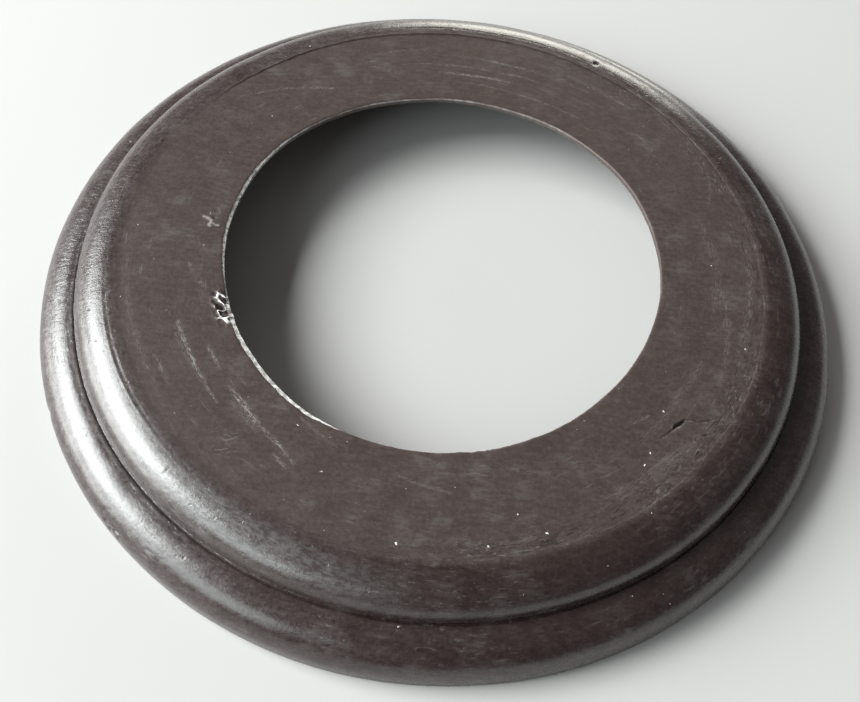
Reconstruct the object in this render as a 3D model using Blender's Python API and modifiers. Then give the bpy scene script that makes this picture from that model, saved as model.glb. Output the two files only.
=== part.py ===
"""Low moulded rubber expansion joint: a stepped, dished ring.

Axis of the pipe run is +Z and the flange sits on Z = 0.  Metres.

From the outside in, the ring has four zones:
  flange    a solid rim with a flat seat, stiffened by a steel bead wire
  shoulder  the low riser and broad rounded corner that flexes (the convolute)
  web       the flat outer part of the annular face
  lip       the inner part of the face, which ends at the trimmed hole
The shoulder, web and lip are each built in three bonded layers: a cover of black
rubber outside, one woven reinforcing ply, and a rubber liner inside.
"""
import math

import bpy

MM = 0.001

# ---- driving dimensions, in millimetres --------------------------------------
FLANGE_R = 50.0          # outside radius of the flange
CREASE_R = 45.0          # foot of the riser, where it meets the flange's top
CREASE_Z = 5.55          # height of that crease above the seat
STEP_R = 39.5            # fine mould line where the flat face ends
FACE_Z = 9.55            # height of the flat face above the seat
HOLE_R = 26.9            # trimmed hole for the pipe
ZONE_R = 33.25           # ring on which the web meets the lip
WALL_Z = 1.2             # where the flange's rounding turns into its upright wall

COVER_T = 0.90           # outer rubber
PLY_T = 0.40             # woven ply
LINER_T = 0.90           # inner rubber
BOND = 0.12              # clearance left between bonded layers

SPLIT = 0.10             # clearance between neighbouring zones
TILT_SPLIT = 0.16        # the same where a zone tilts

SHOULDER_POWER = 2.25    # how square the shoulder's rounding is (2 is an ellipse)
FLANGE_POWER = 2.20

WIRE_R = 46.2            # bead wire: radius of the hoop
WIRE_Z = 2.0             # its height above the seat
WIRE_D = 1.8             # its thickness
WIRE_CLEAR = 0.12

PLY_END_R = 30.3         # the ply stops short of the trimmed hole
LINER_END_R = 29.2       # the liner feathers out just inside it

SEGMENTS = 48            # round the axis; a multiple of four
SHOULDER_POINTS = 6
FLANGE_POINTS = 6

# depth of each layer's two faces below the outer skin
COVER = (0.0, COVER_T)
PLY = (COVER_T + BOND, COVER_T + BOND + PLY_T)
LINER = (PLY[1] + BOND, PLY[1] + BOND + LINER_T)
WALL_T = LINER[1]
PIVOT_Z = FACE_Z - WALL_T / 2


# ---- helpers -----------------------------------------------------------------
def corner(r0, z0, r1, z1, power, points):
    """Rounded corner that leaves (r0, z0) level and reaches (r1, z1) upright."""
    out = []
    for i in range(points):
        t = 0.5 * math.pi * i / (points - 1)
        out.append((r0 + (r1 - r0) * math.sin(t) ** (2 / power),
                    z1 + (z0 - z1) * math.cos(t) ** (2 / power)))
    return out


def shoulder_at(depth):
    """The shoulder's section at a depth below its skin, from the face down to the crease."""
    return corner(STEP_R, FACE_Z - depth, CREASE_R - depth, CREASE_Z,
                  SHOULDER_POWER, SHOULDER_POINTS)


def flange_at(depth):
    """The flange's rounding at a depth below its skin, from the crease to the upright wall."""
    return corner(CREASE_R, CREASE_Z - SPLIT / 2 - depth, FLANGE_R - depth, WALL_Z,
                  FLANGE_POWER, FLANGE_POINTS)


def arc(r, z, radius, start, end, points):
    """Points on a circle in the section plane, angles in degrees from +r towards +z."""
    out = []
    for i in range(points):
        a = math.radians(start + (end - start) * i / (points - 1))
        out.append((r + radius * math.cos(a), z + radius * math.sin(a)))
    return out


def cut_level(curve, z, above=True):
    """The part of a falling curve above (or below) a level, ending exactly on it."""
    out = []
    for (ra, za), (rb, zb) in zip(curve, curve[1:]):
        if za >= z and not out:
            out.append((ra, za))
        if zb >= z:
            out.append((rb, zb))
        elif za > z:
            t = (za - z) / (za - zb)
            out.append((ra + (rb - ra) * t, z))
            break
    return out


def material(name, colour, roughness, metallic=0.0):
    mat = bpy.data.materials.new(name)
    mat.use_nodes = True
    shader = mat.node_tree.nodes["Principled BSDF"]
    shader.inputs["Base Color"].default_value = (*colour, 1.0)
    shader.inputs["Roughness"].default_value = roughness
    shader.inputs["Metallic"].default_value = metallic
    mat.diffuse_color = (*colour, 1.0)
    mat.roughness = roughness
    mat.metallic = metallic
    return mat


def axis_empty(name, z, kind):
    empty = bpy.data.objects.new(name, None)
    empty.empty_display_type = kind
    empty.empty_display_size = 0.02
    empty.location = (0.0, 0.0, z * MM)
    parts.objects.link(empty)
    return empty


def place(obj, parent):
    """Hang obj on its joint's empty without moving it."""
    if parent is not None:
        obj.parent = parent
        obj.location = (0.0, 0.0, 0.0)


def turned(name, section, mat, parent=None):
    """A ring turned about Z from a closed section that runs down its outer side."""
    base = parent.location.z if parent is not None else 0.0
    mesh = bpy.data.meshes.new(name + "_section")
    count = len(section)
    mesh.from_pydata([(r * MM, 0.0, z * MM - base) for r, z in section],
                     [(i, (i + 1) % count) for i in range(count)], [])
    guide = bpy.data.objects.new(name + "_guide", mesh)
    parts.objects.link(guide)
    screw = guide.modifiers.new("turn", "SCREW")
    screw.axis = "Z"
    screw.angle = 2 * math.pi
    screw.screw_offset = 0.0
    screw.steps = SEGMENTS
    screw.render_steps = SEGMENTS
    screw.use_merge_vertices = True
    screw.merge_threshold = 0.00001
    screw.use_smooth_shade = True
    bpy.context.view_layer.update()
    turned_mesh = bpy.data.meshes.new_from_object(
        guide.evaluated_get(bpy.context.evaluated_depsgraph_get()))
    bpy.data.objects.remove(guide)
    bpy.data.meshes.remove(mesh)
    turned_mesh.name = name
    turned_mesh.shade_smooth()
    turned_mesh.set_sharp_from_angle(angle=math.radians(32))
    turned_mesh.materials.clear()
    turned_mesh.materials.append(mat)
    obj = bpy.data.objects.new(name, turned_mesh)
    parts.objects.link(obj)
    place(obj, parent)
    return obj


# ---- start clean ---------------------------------------------------------------
for old in list(bpy.data.objects):
    bpy.data.objects.remove(old, do_unlink=True)

parts = bpy.data.collections.new("rubber_expansion_joint")
bpy.context.scene.collection.children.link(parts)

cover_rubber = material("cover_rubber", (0.034, 0.026, 0.025), 0.42)
liner_rubber = material("liner_rubber", (0.022, 0.021, 0.021), 0.60)
filler_rubber = material("filler_rubber", (0.045, 0.042, 0.040), 0.75)
woven_ply = material("woven_ply", (0.36, 0.31, 0.23), 0.90)
bead_steel = material("bead_steel", (0.50, 0.48, 0.45), 0.35, 1.0)

# joint axes: travel along the pipe, then the two tilts across it
travel_axis = axis_empty("axial_travel_axis", CREASE_Z, "SINGLE_ARROW")
tilt_x_axis = axis_empty("tilt_x_axis", PIVOT_Z, "PLAIN_AXES")
tilt_y_axis = axis_empty("tilt_y_axis", PIVOT_Z, "PLAIN_AXES")

# ---- flange: rim, ply, filler, bead wire and seat --------------------------------
top = CREASE_Z - SPLIT / 2
inner_r = CREASE_R - WALL_T

turned("flange_cover",
       [(CREASE_R - COVER[1], top)]
       + flange_at(COVER[0])
       + [(FLANGE_R, 0.45), (FLANGE_R - 0.45, 0.0), (FLANGE_R - COVER_T, 0.0)]
       + flange_at(COVER[1])[::-1]
       + [(CREASE_R - COVER[1], top - COVER[1])],
       cover_rubber)

ply_foot = 0.9
turned("flange_ply",
       [(CREASE_R - PLY[1], top), (CREASE_R - PLY[0], top), (CREASE_R - PLY[0], top - PLY[0])]
       + flange_at(PLY[0])
       + [(FLANGE_R - PLY[0], ply_foot), (FLANGE_R - PLY[1], ply_foot)]
       + flange_at(PLY[1])[::-1]
       + [(CREASE_R - PLY[1], top - PLY[1])],
       woven_ply)

groove = WIRE_D / 2 + WIRE_CLEAR
half_gap = 0.06
filler_top = cut_level(flange_at(LINER[0]), WIRE_Z + half_gap)
turned("bead_filler",
       [(CREASE_R - PLY[1], top - LINER[0])]
       + filler_top
       + arc(WIRE_R, WIRE_Z + half_gap, groove, 0, 180, 7)
       + [(CREASE_R - PLY[1], WIRE_Z + half_gap)],
       filler_rubber)

bpy.ops.mesh.primitive_torus_add(
    major_radius=WIRE_R * MM, minor_radius=WIRE_D / 2 * MM,
    major_segments=SEGMENTS, minor_segments=10, location=(0.0, 0.0, WIRE_Z * MM))
wire = bpy.context.object
wire.name = "bead_wire"
wire.data.name = "bead_wire"
wire.data.shade_smooth()
wire.data.materials.append(bead_steel)
for holder in list(wire.users_collection):
    holder.objects.unlink(wire)
parts.objects.link(wire)

seat_right = cut_level(flange_at(LINER[0]), WIRE_Z - half_gap)[-1]
turned("flange_seat",
       [(inner_r, top), (CREASE_R - LINER[0], top), (CREASE_R - LINER[0], WIRE_Z - half_gap)]
       + arc(WIRE_R, WIRE_Z - half_gap, groove, 180, 360, 7)
       + [seat_right, (FLANGE_R - LINER[0], WALL_Z), (FLANGE_R - LINER[0], ply_foot - BOND),
          (FLANGE_R - PLY[0], ply_foot - BOND), (FLANGE_R - PLY[0], 0.0),
          (inner_r + 0.5, 0.0), (inner_r, 0.5)],
       liner_rubber)


# ---- shoulder: the flexing corner ------------------------------------------------
def shoulder_layer(depths):
    outer, inner = shoulder_at(depths[0]), shoulder_at(depths[1])
    foot = CREASE_Z + SPLIT / 2
    edge = STEP_R + TILT_SPLIT / 2
    outer = [(edge, outer[0][1])] + outer[1:-1] + [(outer[-1][0], foot)]
    inner = [(edge, inner[0][1])] + inner[1:-1] + [(inner[-1][0], foot)]
    return outer + inner[::-1]


turned("shoulder_cover", shoulder_layer(COVER), cover_rubber, travel_axis)
turned("shoulder_ply", shoulder_layer(PLY), woven_ply, travel_axis)
turned("shoulder_liner", shoulder_layer(LINER), liner_rubber, travel_axis)


# ---- web: the flat face outside the zone ring ------------------------------------
def band(r_in, r_out, depths):
    return [(r_in, FACE_Z - depths[0]), (r_out, FACE_Z - depths[0]),
            (r_out, FACE_Z - depths[1]), (r_in, FACE_Z - depths[1])]


web_in, web_out = ZONE_R + TILT_SPLIT / 2, STEP_R - TILT_SPLIT / 2
turned("web_cover", band(web_in, web_out, COVER), cover_rubber, tilt_x_axis)
turned("web_ply", band(web_in, web_out, PLY), woven_ply, tilt_x_axis)
turned("web_liner", band(web_in, web_out, LINER), liner_rubber, tilt_x_axis)

# ---- lip: the flat face inside it, down to the trimmed hole -----------------------
lip_out = ZONE_R - TILT_SPLIT / 2
trim = 0.25              # the knife left the upper edge slightly bevelled
turned("lip_cover",
       [(HOLE_R + trim, FACE_Z), (lip_out, FACE_Z), (lip_out, FACE_Z - COVER_T),
        (HOLE_R + 0.1, FACE_Z - COVER_T), (HOLE_R, FACE_Z - COVER_T + 0.1),
        (HOLE_R, FACE_Z - trim)],
       cover_rubber, tilt_y_axis)
turned("lip_ply", band(PLY_END_R, lip_out, PLY), woven_ply, tilt_y_axis)
turned("lip_liner",
       [(LINER_END_R, FACE_Z - PLY[0]), (PLY_END_R - BOND, FACE_Z - PLY[0]),
        (PLY_END_R - BOND, FACE_Z - LINER[0]), (lip_out, FACE_Z - LINER[0]),
        (lip_out, FACE_Z - LINER[1]), (LINER_END_R + 2.0, FACE_Z - LINER[1]),
        (LINER_END_R, FACE_Z - PLY[1])],
       liner_rubber, tilt_y_axis)
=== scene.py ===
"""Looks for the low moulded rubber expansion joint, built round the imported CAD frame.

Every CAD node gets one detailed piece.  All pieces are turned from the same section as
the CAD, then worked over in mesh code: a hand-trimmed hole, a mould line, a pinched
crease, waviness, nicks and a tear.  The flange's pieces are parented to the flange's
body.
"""

import math

import bpy
import numpy as np
from mathutils import Matrix, Vector


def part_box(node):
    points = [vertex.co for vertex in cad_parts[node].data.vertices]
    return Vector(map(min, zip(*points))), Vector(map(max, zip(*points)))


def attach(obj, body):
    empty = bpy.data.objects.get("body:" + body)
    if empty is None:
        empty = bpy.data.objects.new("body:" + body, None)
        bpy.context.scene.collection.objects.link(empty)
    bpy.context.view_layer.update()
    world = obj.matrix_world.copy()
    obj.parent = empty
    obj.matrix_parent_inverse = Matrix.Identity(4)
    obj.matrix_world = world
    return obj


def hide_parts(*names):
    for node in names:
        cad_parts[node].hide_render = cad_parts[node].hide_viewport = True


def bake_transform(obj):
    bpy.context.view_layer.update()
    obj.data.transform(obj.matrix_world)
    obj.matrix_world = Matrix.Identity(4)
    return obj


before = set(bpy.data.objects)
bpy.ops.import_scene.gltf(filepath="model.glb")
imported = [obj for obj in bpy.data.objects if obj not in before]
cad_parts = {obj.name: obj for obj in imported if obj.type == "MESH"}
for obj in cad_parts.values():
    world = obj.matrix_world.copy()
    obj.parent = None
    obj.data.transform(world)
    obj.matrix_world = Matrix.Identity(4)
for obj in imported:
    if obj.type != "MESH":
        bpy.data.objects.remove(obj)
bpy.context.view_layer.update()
MM = 0.001

# ---- the section, in millimetres, tied to the frame's own boxes --------------------
FLANGE_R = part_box("flange_cover")[1].x / MM            # 50.0
FACE_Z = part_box("lip_cover")[1].z / MM                 # 9.55
COVER_T = FACE_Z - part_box("lip_cover")[0].z / MM       # 0.90
CREASE_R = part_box("shoulder_cover")[1].x / MM          # 45.0
CREASE_Z = (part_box("shoulder_cover")[0].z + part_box("flange_cover")[1].z) / 2 / MM   # 5.55
ZONE_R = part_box("lip_cover")[1].x / MM + 0.08          # 33.25
STEP_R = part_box("web_cover")[1].x / MM + 0.08          # 39.5
WALL_Z = 1.2
HOLE_R = 26.9
PLY_TOP = FACE_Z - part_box("lip_ply")[1].z / MM         # 1.02
PLY_BOT = FACE_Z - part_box("lip_ply")[0].z / MM         # 1.42
LINER_TOP = FACE_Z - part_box("web_liner")[1].z / MM     # 1.54
LINER_BOT = FACE_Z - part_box("web_liner")[0].z / MM     # 2.44
BOND = PLY_TOP - COVER_T
PLY_END_R = 30.3
LINER_END_R = 29.2
LIP_BLEND_R = 28.0
SHOULDER_POWER = 2.25
FLANGE_POWER = 2.20
WIRE_R = 46.2
WIRE_Z = 2.0
WIRE_RADIUS = 0.9


# ---- noise ---------------------------------------------------------------------------
def _mix(h):
    h = (h ^ (h >> np.uint32(16))) * np.uint32(0x7FEB352D)
    h = (h ^ (h >> np.uint32(15))) * np.uint32(0x846CA68B)
    return h ^ (h >> np.uint32(16))


def noise(x, y, z, size, seed=0):
    """Smooth gradient noise from about -1 to 1; size is its grain in millimetres."""
    x, y, z = np.broadcast_arrays(x, y, z)
    p = [np.asarray(a, np.float64) / size + 64.5 + 7.31 * seed for a in (x, y, z)]
    cell = [np.floor(a).astype(np.int64) for a in p]
    f = [a - c for a, c in zip(p, cell)]
    w = [a * a * a * (a * (a * 6 - 15) + 10) for a in f]
    total = 0.0
    with np.errstate(over="ignore"):
        for i in (0, 1):
            for j in (0, 1):
                for k in (0, 1):
                    h = ((cell[0] + i).astype(np.uint32) * np.uint32(73856093)
                         ^ (cell[1] + j).astype(np.uint32) * np.uint32(19349663)
                         ^ (cell[2] + k).astype(np.uint32) * np.uint32(83492791)
                         ^ np.uint32((seed * 2654435761) & 0xFFFFFFFF))
                    h = _mix(h)
                    g = [((h >> np.uint32(s)) & np.uint32(1023)).astype(np.float64) / 511.5 - 1
                         for s in (0, 10, 20)]
                    dot = g[0] * (f[0] - i) + g[1] * (f[1] - j) + g[2] * (f[2] - k)
                    total = total + dot * ((w[0] if i else 1 - w[0])
                                           * (w[1] if j else 1 - w[1])
                                           * (w[2] if k else 1 - w[2]))
    return np.clip(total * 1.35, -1, 1)


def fractal(x, y, z, size, seed=0, octaves=3, gain=0.5):
    total, weight, norm = 0.0, 1.0, 0.0
    for o in range(octaves):
        total = total + weight * noise(x, y, z, size / 2 ** o, seed + 11 * o)
        norm += weight
        weight *= gain
    return total / norm


def ramp(v, lo, hi):
    t = np.clip((v - lo) / (hi - lo), 0, 1)
    return t * t * (3 - 2 * t)


def hump(v, centre, half):
    """1 at centre, 0 beyond half on both sides, smooth between."""
    t = np.clip(np.abs(v - centre) / half, 0, 1)
    return 1 - t * t * (3 - 2 * t)


def turn_gap(a, centre):
    """Signed angle from centre, in degrees, wrapped."""
    return (a - centre + 180.0) % 360.0 - 180.0


# ---- spokes: angles round the axis, closer together where there is fine damage -----
def spokes(count, busy):
    fine = np.linspace(-180.0, 180.0, 7201)
    density = np.ones_like(fine)
    for centre, half, extra in busy:
        density += extra * ramp(half + 2.0 - np.abs(turn_gap(fine, centre)), 0.0, 2.0)
    run = np.concatenate([[0.0], np.cumsum((density[1:] + density[:-1]) / 2)])
    run /= run[-1]
    return np.radians(np.interp(np.arange(count) / count, run, fine))


BUSY = [(-156.5, 5.0, 2.6), (-36.0, 6.5, 2.2), (-132.0, 3.0, 1.6), (63.0, 2.0, 1.6)]
COVER_SPOKES = spokes(1060, BUSY)
EVEN_SPOKES = {n: np.arange(n) * 2 * math.pi / n - math.pi for n in (540, 720, 960)}


# ---- the section as a curve of arc length --------------------------------------------
def corner(r0, z0, r1, z1, power, t):
    return (r0 + (r1 - r0) * np.sin(t) ** (2 / power),
            z1 + (z0 - z1) * np.maximum(np.cos(t), 0) ** (2 / power))


class Curve:
    """A section curve that can be read at any length along it."""

    def __init__(self, r, z):
        self.r, self.z = np.asarray(r, float), np.asarray(z, float)
        self.s = np.concatenate([[0.0], np.cumsum(np.hypot(np.diff(self.r), np.diff(self.z)))])
        self.length = self.s[-1]

    def at(self, s):
        return np.interp(s, self.s, self.r), np.interp(s, self.s, self.z)


SWEEP = np.linspace(0, math.pi / 2, 1500)


def shoulder_curve(depth):
    return Curve(*corner(STEP_R, FACE_Z - depth, CREASE_R - depth, CREASE_Z, SHOULDER_POWER, SWEEP))


def flange_curve(depth, foot=WALL_Z):
    r, z = corner(CREASE_R, CREASE_Z - depth, FLANGE_R - depth, WALL_Z, FLANGE_POWER, SWEEP)
    if foot < WALL_Z:
        r, z = np.append(r, FLANGE_R - depth), np.append(z, foot)
    return Curve(r, z)


SHOULDER = shoulder_curve(0.0)
FLANGE = flange_curve(0.0, 0.45)
CREASE_S = SHOULDER.length                 # arc length from the mould line to the crease


def spaced(*spans):
    """Stations from spans of (start, end, spacing), ends shared."""
    out = []
    for start, end, step in spans:
        n = max(1, int(round((end - start) / step)))
        out += list(start + (end - start) * np.arange(n) / n)
    return np.array(out + [spans[-1][1]])


# ---- hand trimming of the hole -------------------------------------------------------
def hole_radius(a):
    """The hole as it was cut by hand; a in radians."""
    r = HOLE_R + (0.23 * np.cos(3 * a - 1.24) + 0.07 * np.cos(a - 2.8) + 0.045 * np.cos(2 * a - 2.5)
                  + 0.05 * np.cos(4 * a + 2.16) + 0.035 * np.cos(7 * a + 1.1)
                  + 0.03 * np.cos(12 * a + 0.2))
    x, y = 27 * np.cos(a), 27 * np.sin(a)
    r = r + 0.045 * noise(x, y, 0, 2.6, 3) + 0.028 * noise(x, y, 0, 0.8, 4)
    deg = np.degrees(a)
    rough = hump(turn_gap(deg, -156.5), 0, 6.5)
    r = r + rough * (0.26 * noise(x, y, 0, 1.3, 5) + 0.16 * noise(x, y, 0, 0.62, 6) - 0.02)
    torn = hump(turn_gap(deg, -73.0), 0, 12.0)
    r = r + torn * (0.16 * np.abs(noise(x, y, 0, 1.0, 7)) + 0.05 * noise(x, y, 0, 0.4, 8))
    nibbled = hump(turn_gap(deg, -74.0), 0, 36.0)
    r = r + nibbled * (0.11 * noise(x, y, 0, 1.7, 13) + 0.06 * noise(x, y, 0, 0.75, 14))
    return r


def bevel(a):
    """How far the knife slanted the upper edge back, and how deep; a in radians."""
    deg = np.degrees(a)
    x, y = 27 * np.cos(a), 27 * np.sin(a)
    slant = ramp(turn_gap(deg, -163.0), 0.0, 8.0) * (1 - ramp(turn_gap(deg, -121.0), 0.0, 14.0))
    slant = slant * np.where(turn_gap(deg, -163.0) > 0, 1.0, 0.0)
    # a narrower slant runs on round the far half of the hole
    far = 0.42 * hump(turn_gap(deg, 176.0), 0, 46.0) + 0.16 * ramp(100.0 - np.abs(turn_gap(deg, 95.0)), 0.0, 25.0)
    far = far * (1 - 0.55 * hump(turn_gap(deg, 20.0), 0, 50.0))
    slant = np.maximum(slant, far * (1 + 0.25 * noise(x, y, 0, 3.0, 15)))
    width = 0.09 + 0.42 * slant * (1 + 0.30 * noise(x, y, 0, 2.2, 9) + 0.24 * noise(x, y, 0, 0.55, 10))
    width = width + 0.03 * noise(x, y, 0, 1.4, 12)
    width = width + 0.07 * hump(turn_gap(deg, -73.0), 0, 12.0)
    width = np.clip(width, 0.04, 0.8)
    return width, width * (0.80 - 0.27 * slant), slant


# ---- relief of the outer skin --------------------------------------------------------
TEAR = [(26.08, -22.56, 0.030), (26.95, -21.85, 0.045), (27.55, -21.20, 0.060), (27.85, -20.85, 0.120),
        (28.35, -20.42, 0.155), (28.85, -20.00, 0.120), (29.05, -19.78, 0.060), (29.75, -19.72, 0.045),
        (30.60, -19.95, 0.045), (31.70, -19.60, 0.050), (32.75, -19.15, 0.030)]
TEAR_SPUR = [(30.75, -21.75, 0.03), (31.30, -21.52, 0.06), (31.95, -21.35, 0.03)]


def along(x, y, path):
    """Distance to a polyline and the value carried by its points, both at each (x, y)."""
    best = np.full(np.shape(x), 1e9)
    value = np.zeros(np.shape(x))
    for (ax, ay, av), (bx, by, bv) in zip(path, path[1:]):
        dx, dy = bx - ax, by - ay
        t = np.clip(((x - ax) * dx + (y - ay) * dy) / (dx * dx + dy * dy), 0, 1)
        d = np.hypot(x - ax - t * dx, y - ay - t * dy)
        near = d < best
        best = np.where(near, d, best)
        value = np.where(near, av + (bv - av) * t, value)
    return best, value


def mould_line(a):
    """Where the mould line runs, as a small offset along the section, and how high it stands."""
    x, y = 40 * np.cos(a), 40 * np.sin(a)
    deg = np.degrees(a)
    left = 1 - ramp(np.abs(turn_gap(deg, -172.0)), 42.0, 72.0)
    faded = ramp(np.abs(turn_gap(deg, 86.0)), 44.0, 70.0) * (0.52 + 0.48 * left)
    front = hump(turn_gap(deg, -40.0), 0, 80.0)
    wander = 0.12 * noise(x, y, 0, 9.0, 21) + 0.08 * noise(x, y, 0, 1.6, 22) + 0.06 * noise(x, y, 0, 0.6, 23)
    return wander * (1 + 1.5 * faded), 0.085 - 0.073 * faded, faded, front


def relief(a, s, x, y, z):
    """Height of the skin above the plain section, along its normal, in millimetres.
    a is the angle in radians, s the length along the section from the mould line outwards."""
    deg = np.degrees(a)
    face = 1 - ramp(s, -0.6, 0.6)
    d = 0.085 * noise(x, y, z, 17.0, 31) + 0.035 * noise(x, y, z, 6.0, 32)
    d = d + 0.008 * fractal(x, y, z, 2.2, 33, 2)
    d = d + face * 0.006 * noise(x, y, z, 0.8, 34)
    # faint rings left by turning the mould, seamless round the axis
    ring = noise(np.cos(a) * 3.0, np.sin(a) * 3.0, s * 3.2, 1.0, 35)
    d = d + 0.0035 * ring
    # mould line: the face stands a little lower, behind a fine jagged edge
    wander, drop, faded, front = mould_line(a)
    d = d - drop * (1 - ramp(s - wander, -0.07 - 0.4 * faded ** 3, 0.07 + 0.4 * faded ** 3))
    ragged = 0.5 + 0.5 * noise(x, y, z, 1.3, 41)
    broken = 1 - ramp(faded, 0.1, 0.5) * (1 - ramp(noise(x, y, z, 3.4, 45), -0.05, 0.35))
    d = d + 0.026 * (1 - 0.8 * faded) * broken * ragged * np.exp(-((s - wander - 0.10) / 0.07) ** 2)
    # where the line fades, the edge of the face dips softly instead
    d = d - 0.040 * faded * np.exp(-((s + 0.55) / 0.85) ** 2)
    # where the line fades, the skin is crusted along it instead
    crust = front * hump(s, -1.0, 1.7)
    d = d + 0.030 * crust * ramp(noise(np.cos(a) * 60, np.sin(a) * 60, s * 1.6, 1.0, 42), 0.15, 0.6)
    d = d - 0.034 * crust * ramp(noise(np.cos(a) * 48, np.sin(a) * 48, s * 2.2, 1.0, 43), 0.25, 0.6)
    second = 1.18 + 0.16 * noise(np.cos(a) * 4, np.sin(a) * 4, 0, 1.0, 36)
    side = hump(turn_gap(deg, -150.0), 0, 30.0) + 0.55 * hump(turn_gap(deg, 95.0), 0, 60.0)
    d = d - 0.034 * side * ragged * np.exp(-((s - second) / 0.20) ** 2)
    d = d + 0.012 * side * np.exp(-((s - second - 0.34) / 0.16) ** 2)
    # pinched crease, with a thin bead of rubber just above it
    c = s - CREASE_S
    pinch = hump(turn_gap(deg, -165.0), 0, 80.0)
    d = d - (0.09 + 0.15 * pinch) * np.exp(-(c / 0.17) ** 2)
    bead = 0.30 + 0.70 * pinch
    d = d + 0.075 * bead * np.exp(-((c + 0.50) / 0.15) ** 2) * (1 + 0.4 * noise(x, y, z, 1.5, 37)
                                                                  + 0.5 * noise(x, y, z, 0.7, 44))
    d = d - 0.030 * np.exp(-((c - 0.75) / 0.30) ** 2) * (0.5 + 0.5 * noise(x, y, z, 5.0, 38))
    # drag marks that cross the flange and the riser
    outer = ramp(s, 2.0, 4.0) * hump(turn_gap(deg, 180.0), 0, 45.0)
    d = d + outer * 0.006 * noise(np.cos(a) * 70, np.sin(a) * 70, s * 0.5, 1.0, 39)
    return d


def damage(a, s, x, y):
    """Local damage of the skin: (height, painted shade in its hollows, paleness)."""
    deg = np.degrees(a)
    high = np.zeros(np.shape(x))
    painted_shade = np.zeros(np.shape(x))
    pale = np.zeros(np.shape(x))
    # the tear: a slit darkened inside with painted shade, with a raised, paler lip
    if np.any((np.hypot(x - 29.3, y + 20.6) < 6) & (s < 0)):
        for path in (TEAR, TEAR_SPUR):
            d, w = along(x + 0.05 * noise(x, y, 0, 0.7, 51), y + 0.05 * noise(x, y, 0, 0.6, 52), path)
            w = np.maximum(w, 0.02) * (1 + 0.25 * noise(x, y, 0, 0.9, 53))
            cut = np.exp(-(d / (w * 0.9 + 0.03)) ** 2)
            high -= cut * np.minimum(2.4 * w, 0.36)
            high += 0.018 * np.exp(-((d - 1.5 * w - 0.09) / 0.10) ** 2) * ramp(w, 0.02, 0.1)
            painted_shade = np.maximum(painted_shade, cut * ramp(w, 0.0, 0.09))
            pale = np.maximum(pale, 0.45 * np.exp(-((d - 1.5 * w - 0.10) / 0.09) ** 2) * ramp(w, 0.02, 0.1)
                              * ramp(noise(x, y, 0, 0.7, 57), -0.1, 0.4))
    # a pit on the shoulder, a chipped spot and a notch on the flange's edge, each darkened inside with painted shade
    pit = np.hypot(x - 18.70, (y - 36.62) * 0.8)
    high -= 0.20 * np.exp(-(pit / 0.34) ** 2)
    painted_shade = np.maximum(painted_shade, 0.8 * np.exp(-(pit / 0.30) ** 2))
    c = s - CREASE_S
    rim = ramp(c, 2.0, 3.0)
    for at, down, wide, tall, deep in ((-133.5, 5.85, 0.34, 0.30, 0.20), (-132.7, 6.75, 0.30, 0.50, 0.30),
                                       (-131.3, 5.80, 0.62, 0.20, 0.22), (-130.9, 6.50, 0.30, 0.22, 0.14),
                                       (-134.4, 4.90, 0.22, 0.30, 0.12)):
        n1 = turn_gap(deg, at) * math.radians(49.3)
        n2 = c - down + 0.35 * n1
        bent = 0.16 * noise(x, y, 0, 0.5, 54)
        nick_r = np.hypot((n1 + bent) / wide, (n2 + 0.5 * bent) / tall)
        high -= deep * np.exp(-nick_r ** 2) * rim
        high += 0.06 * np.exp(-((nick_r - 1.7) / 0.4) ** 2) * rim * ramp(noise(x, y, 0, 0.6, 58), -0.1, 0.4)
        painted_shade = np.maximum(painted_shade, 0.95 * np.exp(-(nick_r / 0.8) ** 2) * rim)
    notch = (turn_gap(deg, -152.4) * math.radians(50.0)) / 0.55
    notch_r = np.hypot(notch, (c - 7.3) / 1.3)
    high -= 0.30 * np.exp(-notch_r ** 2) * ramp(c, 3.0, 4.0)
    painted_shade = np.maximum(painted_shade, 0.5 * np.exp(-notch_r ** 2) * ramp(c, 3.0, 4.0))
    # a torn flake beside the hole, with the hollow that it left, darkened with painted shade
    flake = np.hypot(x + 29.1, y - 1.8) < 3.5
    if np.any(flake & (s < 0)):
        fx, fy = x + 0.07 * noise(x, y, 0, 0.6, 62), y + 0.07 * noise(x, y, 0, 0.5, 63)
        for path in ([(-30.15, 2.25, 0.10), (-29.65, 2.05, 0.17), (-29.1, 1.75, 0.15), (-28.95, 1.25, 0.13), (-28.0, 1.02, 0.05)],
                     [(-29.05, 1.55, 0.08), (-29.25, 0.95, 0.16), (-29.0, 0.80, 0.10)]):
            d, w = along(fx, fy, path)
            edge = np.exp(-(d / np.maximum(w, 0.03)) ** 2)
            high += 0.09 * edge
            pale = np.maximum(pale, 0.9 * edge)
        hollow = np.hypot((fx + 28.85) / 0.26, (fy - 2.20) / 0.15)
        high -= 0.22 * np.exp(-hollow ** 2)
        painted_shade = np.maximum(painted_shade, np.exp(-(hollow / 0.9) ** 2))
    # crumbs of rubber and small dents, scattered
    high += 0.028 * ramp(noise(x, y, 3.0, 1.15, 55), 0.62, 0.85)
    high -= 0.022 * ramp(noise(x, y, 9.0, 1.6, 56), 0.60, 0.85)
    return high, painted_shade, pale


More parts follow.
